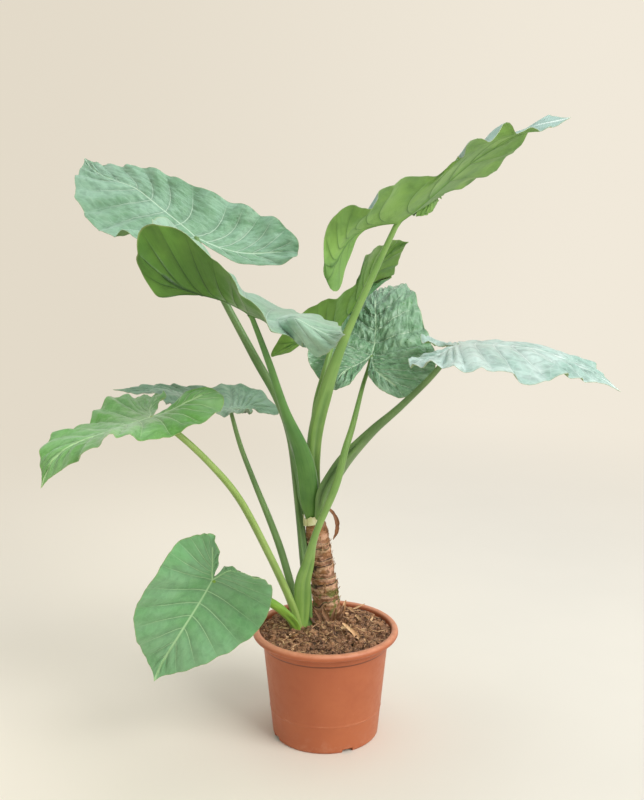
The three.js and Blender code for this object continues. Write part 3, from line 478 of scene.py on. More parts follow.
def leaf_paint(name, look, upper):
    paint = Paint(name)
    main, second, vein_and_highlight_tone = look[:3] if upper else look[3:6]
    crumple, contrast, bloom, gloss = look[6:]
    side = 1.0 if upper else 0.5
    space = paint.space
    where, (row, share, spacing) = paint.attribute("leaf_rows")
    _, (rib, edge, fine) = paint.attribute("leaf_reach")
    dark = tuple(0.72 * c for c in main)
    patches = paint.cloud(space, 30, 4, 0.6, 0.4)
    paint.ground(paint.ramp(paint.cloud(space, 11, 3, 0.55), 0.35, 0.66), main, second)
    streaks = paint.cloud(paint.stretch(where, (8, 1.5, 0)), 1.0, 3, 0.6)
    streaks = paint.times(streaks, paint.ramp(spacing, 6.0, 20.0))
    paint.coat(paint.ramp(streaks, 0.3, 0.75, 0.0, 0.28), second)
    paint.coat(paint.ramp(patches, 0.48, 0.74, 0.0, 0.36 - 0.4 * contrast), dark)
    # side veins, thinner and fainter towards the margin
    off_vein = paint.calc("PINGPONG", row, 0.5)
    width = paint.ramp(share, 0.0, 1.0, 1.7, 0.6)
    from_vein = paint.calc("DIVIDE", paint.times(off_vein, spacing), width)
    vein = paint.calc("SUBTRACT", 1.0, from_vein, clamp=True)
    vein = paint.times(vein, paint.ramp(share, 0.55, 1.0, 0.9, 0.25))
    vein = paint.times(vein, paint.ramp(spacing, 4.0, 10.0))
    # painted shade: a dark strip beside each side vein, fainter towards the margin
    beside = paint.ramp(off_vein, 0.0, 0.26, 1.0, 0.0)
    paint.coat(paint.times(beside, paint.ramp(share, 0.35, 1.0, 0.5 if upper else 0.2, 0.1)), dark)
    # puckers between the veins: a painted highlight, pale on their tops, and painted shade, dark in the
    # hollows
    across = {0: paint.times(row, 2.3), 1: paint.calc("DIVIDE", fine, 13.0)}
    puckers = paint.cloud(paint.node("ShaderNodeCombineXYZ", across).outputs[0], 1.0, 2, 0.5, 0.5)
    steady = paint.ramp(spacing, 5.0, 24.0)
    puckers = paint.calc("MULTIPLY_ADD", paint.calc("SUBTRACT", puckers, 0.5), steady, 0.5)
    paint.coat(paint.ramp(puckers, 0.5, 0.66, 0.0, 0.5 * contrast * side), vein_and_highlight_tone)
    paint.coat(paint.ramp(puckers, 0.34, 0.5, contrast * side, 0.0), tuple(0.55 * c for c in second))
    # where the veins run together the blade is evenly paler
    paint.coat(paint.ramp(spacing, 3.0, 9.0, 0.6, 0.0), vein_and_highlight_tone)
    lines = paint.calc("MAXIMUM", vein, paint.ramp(rib, 0.6, 2.6 if upper else 3.4, 1.0, 0.0))
    paint.coat(lines, vein_and_highlight_tone)
    # small veins between the side veins
    small = paint.cells(paint.stretch(where, (3.4, 9, 0)), 1.0, "DISTANCE_TO_EDGE", 0.9)
    web = paint.times(paint.ramp(small, 0.0, 0.09, 1.0, 0.0), paint.ramp(spacing, 8.0, 22.0))
    paint.coat(paint.times(web, 0.14 if upper else 0.1), tuple(min(255, 1.12 * c + 6) for c in main))
    # a thin paler rim, and a few dark specks
    rim_tone = tuple(0.5 * c + d for c, d in zip(look[2], RIM_TINT))
    paint.coat(paint.times(paint.ramp(edge, 0.3, 1.6, 1.0, 0.0), 0.55), rim_tone)
    specks = paint.ramp(paint.cells(space, 26), 0.02, 0.05, 1.0, 0.0)
    paint.coat(paint.times(specks, paint.ramp(paint.cloud(space, 17, 1), 0.62, 0.66)), SPECK)

    paint.dent(web, paint.times(steady, 0.25), 0.0005)
    paint.dent(puckers, 0.9, crumple * side)
    paint.dent(paint.cloud(space, 42, 2), paint.times(steady, 0.5), 0.0018)
    paint.dent(streaks, 0.3, 0.0012)
    paint.dent(lines, 0.5, -0.0006 if upper else 0.0012)
    return paint.finish(
        paint.ramp(patches, 0.3, 0.8, gloss - 0.05, gloss + 0.13), Sheen_Weight=bloom if upper else 0.08,
        Sheen_Roughness=0.45, Sheen_Tint=linear(BLOOM_TINT), Specular_IOR_Level=0.5 if upper else 0.35)


def stalk_paint(name, main, second, foot, dark):
    paint = Paint(name)
    where, (reach, _, lip) = paint.attribute("stalk")
    broad = paint.cloud(paint.space, 14, 3, 0.5)
    lines = paint.cloud(paint.stretch(where, (6, 26, 0)), 1.0, 4, 0.65)
    flecks = paint.ramp(paint.cells(paint.stretch(where, (90, 14, 0)), 1.0), 0.05, 0.14, 1.0, 0.0)
    paint.ground(paint.ramp(broad, 0.35, 0.7), main, second)
    paint.coat(paint.ramp(lines, 0.45, 0.8, 0.0, 0.5), dark)
    paint.coat(paint.ramp(reach, 0.0, 0.22, 0.6, 0.0), foot)
    paint.coat(paint.ramp(reach, 0.0, 0.055, 0.9, 0.0), STALK_FOOT)
    paint.coat(paint.ramp(reach, 0.85, 1.0, 0.0, 0.35), second)
    paint.coat(paint.ramp(lip, 0.4, 1.0, 0.0, 0.22), foot)
    # painted shade: the hollow of the sheath groove is darker
    paint.coat(paint.ramp(lip, -1.0, -0.2, 0.5, 0.0), dark)
    paint.coat(paint.times(flecks, 0.22), foot)
    paint.dent(lines, 0.35, 0.0008)
    paint.dent(broad, 0.3, 0.002)
    return paint.finish(paint.ramp(lines, 0.3, 0.8, 0.36, 0.52), Sheen_Weight=0.12, Sheen_Roughness=0.5,
                        Specular_IOR_Level=0.45)


def trunk_paint():
    paint = Paint("trunk_bark")
    _, (ring, _, height) = paint.attribute("bark")
    space = paint.space
    fibres = paint.cloud(paint.stretch(space, (60, 60, 420)), 1.0, 5, 0.7, 0.6)
    broad = paint.cloud(space, 38, 4, 0.6)
    paint.ground(paint.ramp(broad, 0.36, 0.62), (110, 72, 44), (172, 122, 80))
    paint.coat(paint.ramp(fibres, 0.46, 0.7, 0.0, 0.7), (96, 62, 38))
    # pale bark left between the scars, broken up along and round the stem
    pale = paint.ramp(paint.cloud(paint.stretch(space, (1, 1, 1.7)), 48, 3, 0.6), 0.45, 0.56)
    pale = paint.times(pale, paint.ramp(ring, 0.2, 0.5, 0.3, 1.0))
    paint.coat(paint.times(pale, 0.85), (222, 174, 146))
    # the edge of a scar is pale, with a dark groove behind it, here and there green
    crest = paint.times(paint.ramp(ring, 0.56, 0.72), paint.ramp(ring, 0.76, 0.86, 1.0, 0.0))
    paint.coat(paint.times(crest, 0.5), (218, 184, 146))
    green = paint.ramp(paint.cloud(space, 30, 2), 0.5, 0.6)
    groove_colour = paint.mix(green, (48, 32, 22), (70, 78, 34))
    paint.coat(paint.times(paint.ramp(ring, 0.8, 0.92), 0.94), groove_colour)
    cracks = paint.ramp(paint.cloud(paint.stretch(space, (70, 70, 300)), 1.0, 4, 0.75, 1.2), 0.62, 0.7)
    paint.coat(paint.times(cracks, 0.9), (46, 30, 20))
    moss = paint.ramp(paint.cloud(space, 34, 2), 0.55, 0.62)
    paint.coat(paint.times(moss, paint.ramp(height, 0.5, 0.2, 0.0, 0.85)), (112, 122, 52))
    paint.dent(fibres, 0.8, 0.002)
    paint.dent(broad, 0.6, 0.003)
    return paint.finish(paint.ramp(broad, 0.3, 0.7, 0.62, 0.85))


def husk_paint(name, pale, tone, dark, scale=180):
    """Dry papery plant matter with fibres along its length."""
    paint = Paint(name)
    fibres = paint.cloud(paint.stretch(paint.space, (1, 1, 0.25)), scale, 4, 0.65, 0.8)
    broad = paint.cloud(paint.space, 46, 3, 0.5)
    paint.ground(paint.ramp(broad, 0.35, 0.68), tone, pale)
    paint.coat(paint.ramp(fibres, 0.48, 0.72, 0.0, 0.8), dark)
    paint.dent(fibres, 0.7, 0.001)
    return paint.finish(paint.ramp(broad, 0.3, 0.7, 0.5, 0.75))


def soil_paint(name):
    paint = Paint(name)
    space = paint.space
    clods = paint.cloud(space, 46, 5, 0.72)
    grains = paint.cloud(space, 520, 4, 0.7)
    paint.ground(paint.ramp(clods, 0.34, 0.64), (84, 54, 36), (212, 162, 120))
    paint.coat(paint.ramp(grains, 0.4, 0.6, 0.0, 0.7), (128, 86, 62))
    # painted shade: dark spots stand in for the shaded holes between the clods
    paint.coat(paint.ramp(paint.cloud(space, 120, 3, 0.6), 0.36, 0.47, 0.9, 0.0), (54, 36, 25))
    paint.coat(paint.times(paint.ramp(paint.cloud(space, 640, 2, 0.5), 0.6, 0.68), 0.8), (226, 190, 158))
    paint.dent(grains, 0.9, 0.002)
    paint.dent(clods, 0.8, 0.006)
    return paint.finish(paint.ramp(grains, 0.3, 0.7, 0.8, 0.98))


def pot_paint():
    paint = Paint("pot_plastic")
    space = paint.space
    height = paint.axis(space, "Z")
    mottle = paint.cloud(space, 60, 4, 0.6)
    paint.ground(paint.ramp(paint.cloud(space, 7, 3, 0.5), 0.3, 0.7), (170, 92, 57), (182, 103, 65))
    paint.coat(paint.ramp(mottle, 0.4, 0.75, 0.0, 0.25), (164, 88, 60))
    # scuffs along the moulded line, dust low on the wall, and pale marks
    scuffs = paint.cloud(paint.stretch(space, (30, 30, 900)), 1.0, 4, 0.7)
    from_line = paint.calc("ABSOLUTE", paint.calc("SUBTRACT", height, 0.061))
    dust = paint.times(paint.ramp(from_line, 0.0, 0.004, 1.0, 0.0), paint.ramp(scuffs, 0.52, 0.66))
    paint.coat(paint.times(dust, 0.45), (226, 176, 146))
    low = paint.times(paint.ramp(height, 0.0, 0.05, 1.0, 0.0), paint.ramp(mottle, 0.45, 0.7))
    paint.coat(paint.times(low, 0.3), (206, 150, 118))
    marks = paint.ramp(paint.cloud(paint.stretch(space, (50, 50, 14)), 3.0, 5, 0.75, 1.5), 0.64, 0.72)
    paint.coat(paint.times(marks, 0.22), (214, 152, 120))
    # painted highlight: the rim's upper face is paler where it faces the light, and a painted shadow line
    # sits where the band steps in under it
    painted_rim_highlight = paint.times(paint.ramp(height, 0.2205, 0.2275), paint.ramp(mottle, 0.2, 0.6, 0.45, 0.85))
    paint.coat(painted_rim_highlight, (228, 158, 124))
    # painted shadow: a dark line at the band's lower step
    from_painted_shadow_line = paint.calc("ABSOLUTE", paint.calc("SUBTRACT", height, 0.1955))
    paint.coat(paint.ramp(from_painted_shadow_line, 0.0008, 0.0032, 0.8, 0.0), (104, 54, 36))
    paint.dent(paint.cloud(space, 900, 2, 0.6), 0.15, 0.0003)
    paint.dent(mottle, 0.12, 0.0012)
    return paint.finish(paint.ramp(mottle, 0.3, 0.75, 0.4, 0.54), Specular_IOR_Level=0.45)


# ---------------------------------------------------------------- mesh makers


def new_mesh(name, points, faces):
    mesh = bpy.data.meshes.new(name)
    mesh.from_pydata((points * MM).tolist(), [], faces)
    return mesh


def linked(name, data):
    made = bpy.data.objects.new(name, data)
    bpy.context.scene.collection.objects.link(made)
    return made


def piece(name, points, faces, materials, tags=None, weld=False, sharp=50, face_materials=None):
    """A mesh piece from rows of millimetre points. Tags are named rows of three numbers for the paints."""
    mesh = new_mesh(name, points, faces)
    for material in materials:
        mesh.materials.append(material)
    if face_materials is not None:
        mesh.polygons.foreach_set("material_index", np.asarray(face_materials, np.int32))
    for tag, rows in (tags or {}).items():
        if weld:  # points that are joined keep their tags at the corners of their faces
            corners = np.zeros(len(mesh.loops), np.int32)
            mesh.loops.foreach_get("vertex_index", corners)
            rows = rows[corners]
        layer = mesh.attributes.new(tag, "FLOAT_VECTOR", "CORNER" if weld else "POINT")
        layer.data.foreach_set("vector", rows.astype(np.float32).ravel())
    if weld:
        work = bmesh.new()
        work.from_mesh(mesh)
        bmesh.ops.remove_doubles(work, verts=work.verts, dist=2e-5)
        bmesh.ops.dissolve_degenerate(work, edges=work.edges, dist=1e-6)
        work.to_mesh(mesh)
        work.free()
    mesh.polygons.foreach_set("use_smooth", np.ones(len(mesh.polygons), bool))
    mesh.set_sharp_from_angle(angle=math.radians(sharp))
    mesh.update()
    made = linked(name, mesh)
    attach(made, "root")
    return made


def gather(parts):
    """Joins several (points, faces) into one."""
    points, faces, base = [], [], 0
    for some_points, some_faces in parts:
        points.append(some_points)
        faces += [[i + base for i in f] for f in some_faces]
        base += len(some_points)
    return np.vstack(points), faces


def heap(name, parts, material, sharp=50):
    """One piece made of many small solids."""
    points, faces = gather(parts)
    piece(name, points, faces, [material], sharp=sharp)


def grid_faces(rows, columns, wrap=False):
    """Quads of a grid of points stored row by row."""
    r = np.arange(rows - 1)[:, None]
    c = np.arange(columns if wrap else columns - 1)[None, :]
    n = (c + 1) % columns
    quads = np.stack([r * columns + c, r * columns + n, (r + 1) * columns + n, (r + 1) * columns + c], -1)
    return quads.reshape(-1, 4).tolist()


def tube_faces(rows, sides):
    """A grid that closes round its sides, with a cap at each end."""
    last = (rows - 1) * sides
    return grid_faces(rows, sides, wrap=True) + [list(range(sides))[::-1], list(range(last, last + sides))]


def sheet_faces(rows, columns):
    """A thin sheet: the grid of its upper side, that of its under side, and the edge between them."""
    size = rows * columns
    quads = grid_faces(rows, columns)
    rim = list(range(columns)) + [r * columns + columns - 1 for r in range(1, rows)]
    rim += [size - columns + c for c in range(columns - 2, -1, -1)]
    rim += [r * columns for r in range(rows - 2, 0, -1)]
    edge = [[b, a, a + size, b + size] for a, b in zip(rim, rim[1:] + rim[:1])]
    return quads + [[i + size for i in f[::-1]] for f in quads] + edge


def orient(points, faces):
    """Turns all faces so that the closed shape encloses a positive volume."""
    volume = 0.0
    for f in faces:
        for i in range(1, len(f) - 1):
            volume += np.dot(points[f[0]], np.cross(points[f[i]], points[f[i + 1]]))
    return faces if volume > 0 else [f[::-1] for f in faces]


def round_angles(sides):
    return np.arange(sides) * 2 * np.pi / sides


def frames(centres, facing):
    """Wide and deep directions along a chain of centres that turns its deep side towards facing."""
    along = unit(np.gradient(centres, axis=0))
    wides = unit(np.cross(along, facing))
    return wides, np.cross(wides, along)


def strip_solid(centres, wides, normals, half_widths, thickness, cup, columns):
    """Closed thin strip along centres, each section across wides and cupped towards normals."""
    across = np.linspace(-1, 1, columns + 1)
    middle = (centres[:, None] + across[None, :, None] * (half_widths[:, None, None] * wides[:, None])
              + (cup * half_widths[:, None] * (across ** 2)[None, :])[..., None] * normals[:, None])
    half = normals[:, None] * thickness / 2
    points = np.vstack([(middle + half).reshape(-1, 3), (middle - half).reshape(-1, 3)])
    return points, sheet_faces(len(centres), columns + 1)


# ---------------------------------------------------------------- blades


def flat_point(name):
    if name in "JMT":
        return ({"J": 0, "M": 0.5, "T": 1}[name], 0)
    along, out = OUTLINE[int(name[1:])]
    return (along, out if name[0] == "R" else -out)


def bend_plate(surface):
    """The flat leaf bent like a thin plate through its points: rows of (along, out) to rows of (x, y, z)."""
    flat = np.array([flat_point(name) for name in surface], float)
    goal = np.array(list(surface.values()), float)
    count = len(flat)

    def kernel(distance):
        safe = np.maximum(distance, 1e-12)
        return safe * safe * np.log(safe)
    system = np.zeros((count + 3, count + 3))
    system[:count, :count] = kernel(np.linalg.norm(flat[:, None] - flat[None], axis=-1))
    system[:count, count] = 1
    system[:count, count + 1:] = flat
    system[count:, :count] = system[:count, count:].T
    weights = np.linalg.solve(system, np.vstack([goal, np.zeros((3, 3))]))

    def plate(rows):
        distance = np.linalg.norm(rows[:, None] - flat[None], axis=-1)
        return kernel(distance) @ weights[:count] + weights[count] + rows @ weights[count + 1:]
    return plate


def plate_normal(plate, places, step, ahead=1):
    """Upward direction of a bent leaf at flat places. The tip has nothing ahead of it."""
    lengthwise = plate(places + [ahead * step, 0]) - plate(places - [step, 0])
    sideways = plate(places + [0, step]) - plate(places - [0, step])
    return unit(np.cross(sideways, lengthwise))


def flat_at(k, share):
    """Flat place on one half: k counts rows from tip to sinus, share runs from rib to margin."""
    u = np.clip(k / FRONT_ROWS, 0, 1)
    lobe = np.clip((k - FRONT_ROWS) / LOBE_ROWS, 0, 2)
    front = k <= FRONT_ROWS
    lobe_origin = through(LOBE_RIB, 3 * np.where(lobe <= 1, lobe, 2 - lobe))
    front_origin = rows_of(TIP_ORIGIN * (1 - u) ** ROW_CROWDING, 0)
    origin = np.where(front[..., None], front_origin, lobe_origin)
    front_margin = TIP_MARGIN + (WIDEST - TIP_MARGIN) * u ** MARGIN_CROWDING
    end = through(OUTLINE, np.where(front, front_margin, WIDEST + 3 * lobe))
    sweep = np.where(front, 1 + VEIN_SWEEP * (1 - u ** 3), 1.0)
    along = origin[..., 0] + (end[..., 0] - origin[..., 0]) * share ** sweep
    return rows_of(along, origin[..., 1] + (end[..., 1] - origin[..., 1]) * share)


def distance_to_line(rows, line):
    """Distance from flat places to a chain of straight stretches."""
    best = np.full(len(rows), 1e9)
    line = np.asarray(line, float)
    for a, b in zip(line[:-1], line[1:]):
        t = np.clip((rows - a) @ (b - a) / ((b - a) @ (b - a)), 0, 1)
        best = np.minimum(best, np.linalg.norm(rows - a - t[:, None] * (b - a), axis=-1))
    return best


def blade_rows():
    # a side vein on every second row in front of the stalk and on every row of the rear lobes
    front = [2 * (vein + step) for vein in range(FRONT_ROWS // 2) for step in FRONT_STEPS]
    lobes = [row + step for row in range(FRONT_ROWS, LAST_ROW) for step in LOBE_STEPS]
    return np.array(front + lobes + [LAST_ROW], float)


def blade_crests(draw):
    """Heights of the margin's waves on one side, up and down by turns, one for each row."""
    crests = []
    for k in range(LAST_ROW + 1):
        height = WAVE_LEAST + (1 - WAVE_LEAST) * draw()
        crests.append((height if k % 2 else -height) + WAVE_STRAY * (draw() - 0.5))
    return np.array(crests)


def blade_faces(rows, columns):
    """Faces and their materials: grids of the two upper sides, the two under sides, and the tip's points."""
    count = rows * columns
    under = 2 * count
    tip = 4 * count
    quads = np.array(grid_faces(rows, columns))
    faces, kinds = [], []
    for first in (0, count):
        half = (quads + first).tolist() + (quads[:, ::-1] + first + under).tolist()
        kinds += [0] * len(quads) + [1] * len(quads)
        for a in range(first, first + columns - 1):
            half += [[tip, a, a + 1], [tip + 1, a + 1 + under, a + under]]
            kinds += [0, 1]
        margin = [first + r * columns + columns - 1 for r in range(rows)]
        top_rim = [tip] + margin
        under_rim = [tip + 1] + [a + under for a in margin]
        half += [[top_rim[k], top_rim[k + 1], under_rim[k + 1], under_rim[k]] for k in range(rows)]
        kinds += [0] * rows
        faces += half if first else [f[::-1] for f in half]
    return faces, kinds


def blade(number, top_material, under_material):
    """Makes a leaf and gives its bent plate."""
    data = LEAVES[number]
    plate = bend_plate(data["surface"])
    rail = plate(rows_of(np.linspace(0, 1, 20), 0.0))
    length = np.linalg.norm(np.diff(rail, axis=0), axis=1).sum()
    ks = blade_rows()
    shares = np.array([*NEAR_RIB, *np.linspace(*TO_MARGIN), 1.0])
    K, S = (a.ravel() for a in np.meshgrid(ks, shares, indexing="ij"))
    half = flat_at(K, S)
    in_front = K < FRONT_ROWS
    nearby = flat_at(np.minimum(K + ROW_STEP, LAST_ROW), S) - flat_at(np.maximum(K - ROW_STEP, 0), S)
    spacing = np.linalg.norm(nearby, axis=-1) / (2 * ROW_STEP) * length * np.where(in_front, 2, 1)
    vein_number = np.where(in_front, K / 2, K - FRONT_ROWS / 2)
    row_length = np.linalg.norm(flat_at(K, np.ones_like(K)) - flat_at(K, np.zeros_like(K)), axis=-1) * length
    lobe_line = through(LOBE_RIB, np.linspace(0, 3, 24))
    to_midrib = distance_to_line(half, [(0, 0), (1, 0)])
    rib = np.minimum(to_midrib, distance_to_line(half, lobe_line)) * length
    vein_gap = np.abs((vein_number + 0.5) % 1 - 0.5) * spacing
    between = np.sin(0.5 * np.pi * (1 - np.abs(2 * (vein_number % 1) - 1)))  # 0 on a vein, 1 midway
    wave_ends = smooth(*WAVE_TIP, K) * smooth(0, WAVE_SINUS, LAST_ROW - K)
    puff_ends = smooth(0, PUFF_ENDS, K) * smooth(0, PUFF_ENDS, LAST_ROW - K)
    field = smooth(*VEIN_FIELD, spacing)
    at_margin = smooth(0.6, 1, S)
    wave, pucker = data["wave"], data["pucker"]

    # height of the blade, its ribs and its veins at each place
    taper = 0.25 + 0.75 * (1 - np.clip(np.abs(half[:, 0]), 0, 1))
    rib_width = 1.2 + 3.4 * taper * (1 - 0.6 * np.clip(-half[:, 0] / LOBE_LENGTH, 0, 1))
    ridge = MIDRIB_RISE * taper * np.exp(-(rib / rib_width) ** 2)
    veins = VEIN_RISE * np.exp(-(vein_gap / VEIN_WIDTH) ** 2) * (1 - S) ** 0.5
    ridge += veins * smooth(0, 0.06, S) * puff_ends
    ridge += JOINT_RISE * np.exp(-(np.linalg.norm(half, axis=-1) * length / JOINT_WIDTH) ** 2)
    groove = MIDRIB_GROOVE * taper * np.exp(-(rib / (0.8 * rib_width)) ** 2)
    thick = BLADE_THICKNESS / 2 * (1 - 0.35 * smooth(0.9, 1, S))
    puffs = (QUILT_RISE * data.get("quilt", 1) + 0.6 * pucker) * field * between
    puffs = puffs * np.sin(np.pi * S) * puff_ends

    draw = random_from(number * WAVE_SEED)
    low = np.floor(K).astype(int)
    high = np.minimum(low + 1, LAST_ROW)
    tops, unders = [], []
    for side, lobe_wave in zip((1, -1), data.get("lobe_waves", (1, 1))):
        crests = blade_crests(draw)
        crest = (crests[low] + (crests[high] - crests[low]) * smooth(0, 1, K - low)) * wave_ends
        crest *= 1 + (lobe_wave - 1) * smooth(FRONT_ROWS - LOBE_BLEND, FRONT_ROWS + LOBE_BLEND, K)
        # scalloped margin: it reaches a little further out on the crests and between the veins
        ragged = noise(rows_of(K * 1.1 * 1.9, S * 2, side), number) * RAGGED * at_margin * wave_ends
        reach = 1 + SCALLOP * wave * crest * S ** 3 + SWELL * wave * between * S ** 4 * wave_ends + ragged
        place = half * [1, side] * reach[:, None]
        spots = rows_of(K * 1.6 + 3 * side, S * row_length / PUCKER_LENGTH, number)
        large = pucker * field * noise(spots, 17 * number) * np.sin(np.pi * np.clip(S, 0, 1)) ** 0.5
        small = FINE_PUCKERS * pucker * noise(spots * 2.3, 5 * number) * smooth(0, 0.1, S)
        frill = noise(rows_of(K * 2.2, S * 6, side), number + 40) * at_margin * wave_ends
        lift = wave * crest * smooth(WAVE_INNER, 1, S) + puffs + (large + small) * puff_ends
        lift += (FRILL_LEAST + FRILL_SHARE * wave) * frill
        normal = plate_normal(plate, place, PLATE_FINE_STEP)
        middle = plate(place) + normal * lift[:, None]
        tops.append(middle + normal * (thick - groove)[:, None])
        unders.append(middle - normal * (thick + ridge)[:, None])

    tip_place = np.array([[1.0, 0.0]])
    tip = plate(tip_place)
    tip_half = TIP_THICKNESS / 2 * plate_normal(plate, tip_place, PLATE_STEP, ahead=0)
    points = np.vstack(tops + unders + [tip + tip_half, tip - tip_half])
    tip_rows = np.array([[0, 0, 10.0]] * 2)
    place_tag = rows_of(vein_number, S, spacing)
    reach_tag = rows_of(rib, (1 - S) * row_length, S * row_length)
    faces, kinds = blade_faces(len(ks), len(shares))
    made = piece(f"leaf_{number}", points, faces, [top_material, under_material], face_materials=kinds,
                 tags={"leaf_rows": np.vstack([place_tag] * 4 + [tip_rows]),
                       "leaf_reach": np.vstack([reach_tag] * 4 + [tip_rows])}, weld=True, sharp=BLADE_SHARP)
    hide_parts(f"blade_{number}")
    return plate


# ---------------------------------------------------------------- stalks

STALK_SIDES = 36
STALK_STEP = 5.0  # distance between sections
STALK_SUNK = 3.0  # how far the top end sits under the blade

# Sheath groove of each stalk: direction from its outward side in degrees, depth as a share of the
# radius, half width in degrees, and the heights between which it is open
GROOVES = {
    1: (60, 0.3, 26, 200, 560), 2: (-62, 0.25, 18, 440, 640), 3: (22, 0.42, 30, 440, 760),
    4: (30, 0.3, 24, 215, 420), 5: (-70, 0.4, 26, 460, 665), 6: (0, 0.3, 26, 440, 650),
    7: (0, 0.22, 22, 215, 330), 8: (-60, 0.35, 26, 215, 400), 9: (60, 0.3, 24, 215, 300),
}


def stalk(number, material, plate):
    line = np.array(LEAVES[number]["stalk"], float)
    stretches = np.linalg.norm(np.diff(line[:, :3], axis=0), axis=1)
    count = int(stretches.sum() / STALK_STEP)
    rows = through(line, np.linspace(0, len(line) - 1, count))
    wide, deep = frames(rows[:, :3], [*LEAVES[number]["facing"], 0.0])
    # the top end sits against the blade's under side
    share = np.linspace(1, 0, count)
    near_top = smooth(0.985, 1, share)[:, None]
    centre = rows[:, :3] - near_top * plate_normal(plate, np.zeros((1, 2)), PLATE_STEP) * STALK_SUNK
    angles = round_angles(STALK_SIDES)
    direction, depth, half_width, low, high = GROOVES[number]
    open_share = smooth(low, low + 40, rows[:, 2]) * (1 - smooth(high - 60, high, rows[:, 2]))
    off = (np.degrees(angles) - 90 - direction + 180) % 360 - 180
    hollow = np.exp(-(off / half_width) ** 2)
    lips = np.exp(-((np.abs(off) - 1.7 * half_width) / (0.5 * half_width)) ** 2)
    shape = 1 + open_share[:, None] * (-depth * hollow + 0.14 * lips)
    ripple = rows_of(share[:, None] * 14, np.cos(angles) * 1.5, np.sin(angles) * 1.5)
    shape = shape + 0.035 * noise(ripple, 90 + number)
    across = rows[:, 3, None] * np.cos(angles)[None] * shape
    outward = rows[:, 4, None] * np.sin(angles)[None] * shape
    points = centre[:, None] + across[..., None] * wide[:, None] + outward[..., None] * deep[:, None]
    points = points.reshape(-1, 3)
    tag = rows_of(share[:, None], np.arange(STALK_SIDES) / STALK_SIDES, open_share[:, None] * (lips - hollow))
    faces = orient(points, tube_faces(count, STALK_SIDES))
    made = piece(f"stalk_{number}", points, faces, [material], tags={"stalk": tag})
    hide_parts(f"petiole_{number}")


# ---------------------------------------------------------------- trunk and old sheaths

TRUNK_LINE = [
    (4, 73, 150, 23), (4, 72, 229, 26), (-1, 70, 275, 27), (-6, 66, 321, 24.5), (-13, 60, 372, 23.5),
    (-19, 53, 425, 21.5), (-21, 51, 441, 15),
]
TRUNK_SIDES = 110
TRUNK_ROWS = 300
SCAR_PITCH = 20
SCAR_SIDE = 0.8
SCAR_RISE = 2.38
SCAR_TILT = 5
SCAR_CREST = 0.78  # share of a ring's height at which it stands out most
SCAR_FROM = (215, 240)  # heights over which the rings begin
SCAR_TO = (405, 425)  # and end
BARK_RISE = 0.95


def trunk_surface(t, angles):
    """Points on the trunk for t along its line and angles round it, with rings, and the ring share."""
    rows = through(TRUNK_LINE, t)
    ahead = through(TRUNK_LINE, np.minimum(t + 0.02, len(TRUNK_LINE) - 1))
    behind = through(TRUNK_LINE, np.maximum(t - 0.02, 0))
    along = unit(ahead[:, :3] - behind[:, :3])
    wide = unit(np.cross(along, [0, -1, 0]))
    deep = np.cross(wide, along)
    c, s, z = np.cos(angles), np.sin(angles), rows[:, 2]
    wander = noise(rows_of(c * 1.4, s * 1.4, z / 30), 3) * 4.5 + noise(rows_of(c * 5, s * 5, z / 14), 6) * 1.3
    side = SCAR_SIDE + np.pi * z / SCAR_PITCH
    ring = (z + SCAR_TILT * np.cos(angles - side) + wander) / SCAR_PITCH
    ring = ring - np.floor(ring)
    fade = smooth(*SCAR_FROM, z) * (1 - smooth(*SCAR_TO, z))
    tooth = np.where(ring < SCAR_CREST, (ring / SCAR_CREST) ** 1.4, (1 - ring) / (1 - SCAR_CREST))
    rough = layered(rows_of(c * 5, s * 5, z / 6), 11, 4)
    radius = rows[:, 3] + SCAR_RISE * fade * tooth + BARK_RISE * rough
    points = rows[:, :3] + wide * (radius * c)[:, None] + deep * (radius * s)[:, None]
    return points, ring * fade, z


def trunk(material):
    t = np.repeat(np.linspace(0, len(TRUNK_LINE) - 1, TRUNK_ROWS), TRUNK_SIDES)
    points, ring, z = trunk_surface(t, np.tile(round_angles(TRUNK_SIDES), TRUNK_ROWS))
    faces = orient(points, tube_faces(TRUNK_ROWS, TRUNK_SIDES))
    made = piece("trunk_stem", points, faces, [material], tags={"bark": rows_of(ring, 0.0, (z - 220) / 220)})
    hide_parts("trunk")


FLAKE_COUNT = 85
FLAKE_SEED = 77


def trunk_flakes(material):
    """Papery remains of old leaf bases that stand off the rings."""
    draw = random_from(FLAKE_SEED)
    heights = [p[2] for p in TRUNK_LINE]
    spots = np.linspace(0, 1, 7)
    parts = []
    for _ in range(FLAKE_COUNT):
        z = 236 + 175 * draw()
        angle = draw() * 2 * np.pi
        length = 5 + 9 * draw()
        width = 1.6 + 3.2 * draw()
        lean = 0.25 + 0.5 * draw()
        slide = (draw() - 0.5) * 0.5
        ts = np.interp(z, heights, range(len(heights))) + spots * length / 50
        base, _, _ = trunk_surface(ts, angle + slide * spots)
        outward = unit((base - through(TRUNK_LINE, ts)[:, :3]) * [1, 1, 0])
        centres = base + outward * (0.2 + lean * length * spots ** 2 * 0.6)[:, None]
        halves = width * (1 - 0.75 * spots ** 2) * 0.5 * (1 + 0.3 * np.sin(9 * spots + angle))
        parts.append(strip_solid(centres, *frames(centres, outward), halves, 0.5, 0.35, 3))
    heap("trunk_flakes", parts, material)


STUB_RADIUS = 25.5
STUB_FLARE = 2
STUB_HEIGHT = 21  # at its left end
STUB_SLOPE = 0.5  # share of the height lost at its right end
STUB_DIP = 0.3  # share of the height torn out of its top edge
STUB_DIP_PLACE = 0.3
STUB_DIP_WIDTH = 0.12
STUB_FROM = -172
STUB_TO = -64
STUB_BOTTOM = 428
STUB_CLIMB = 12  # how far its foot rises from left to right
STUB_SUNK = 3
STUB_GRID = (14, 60)


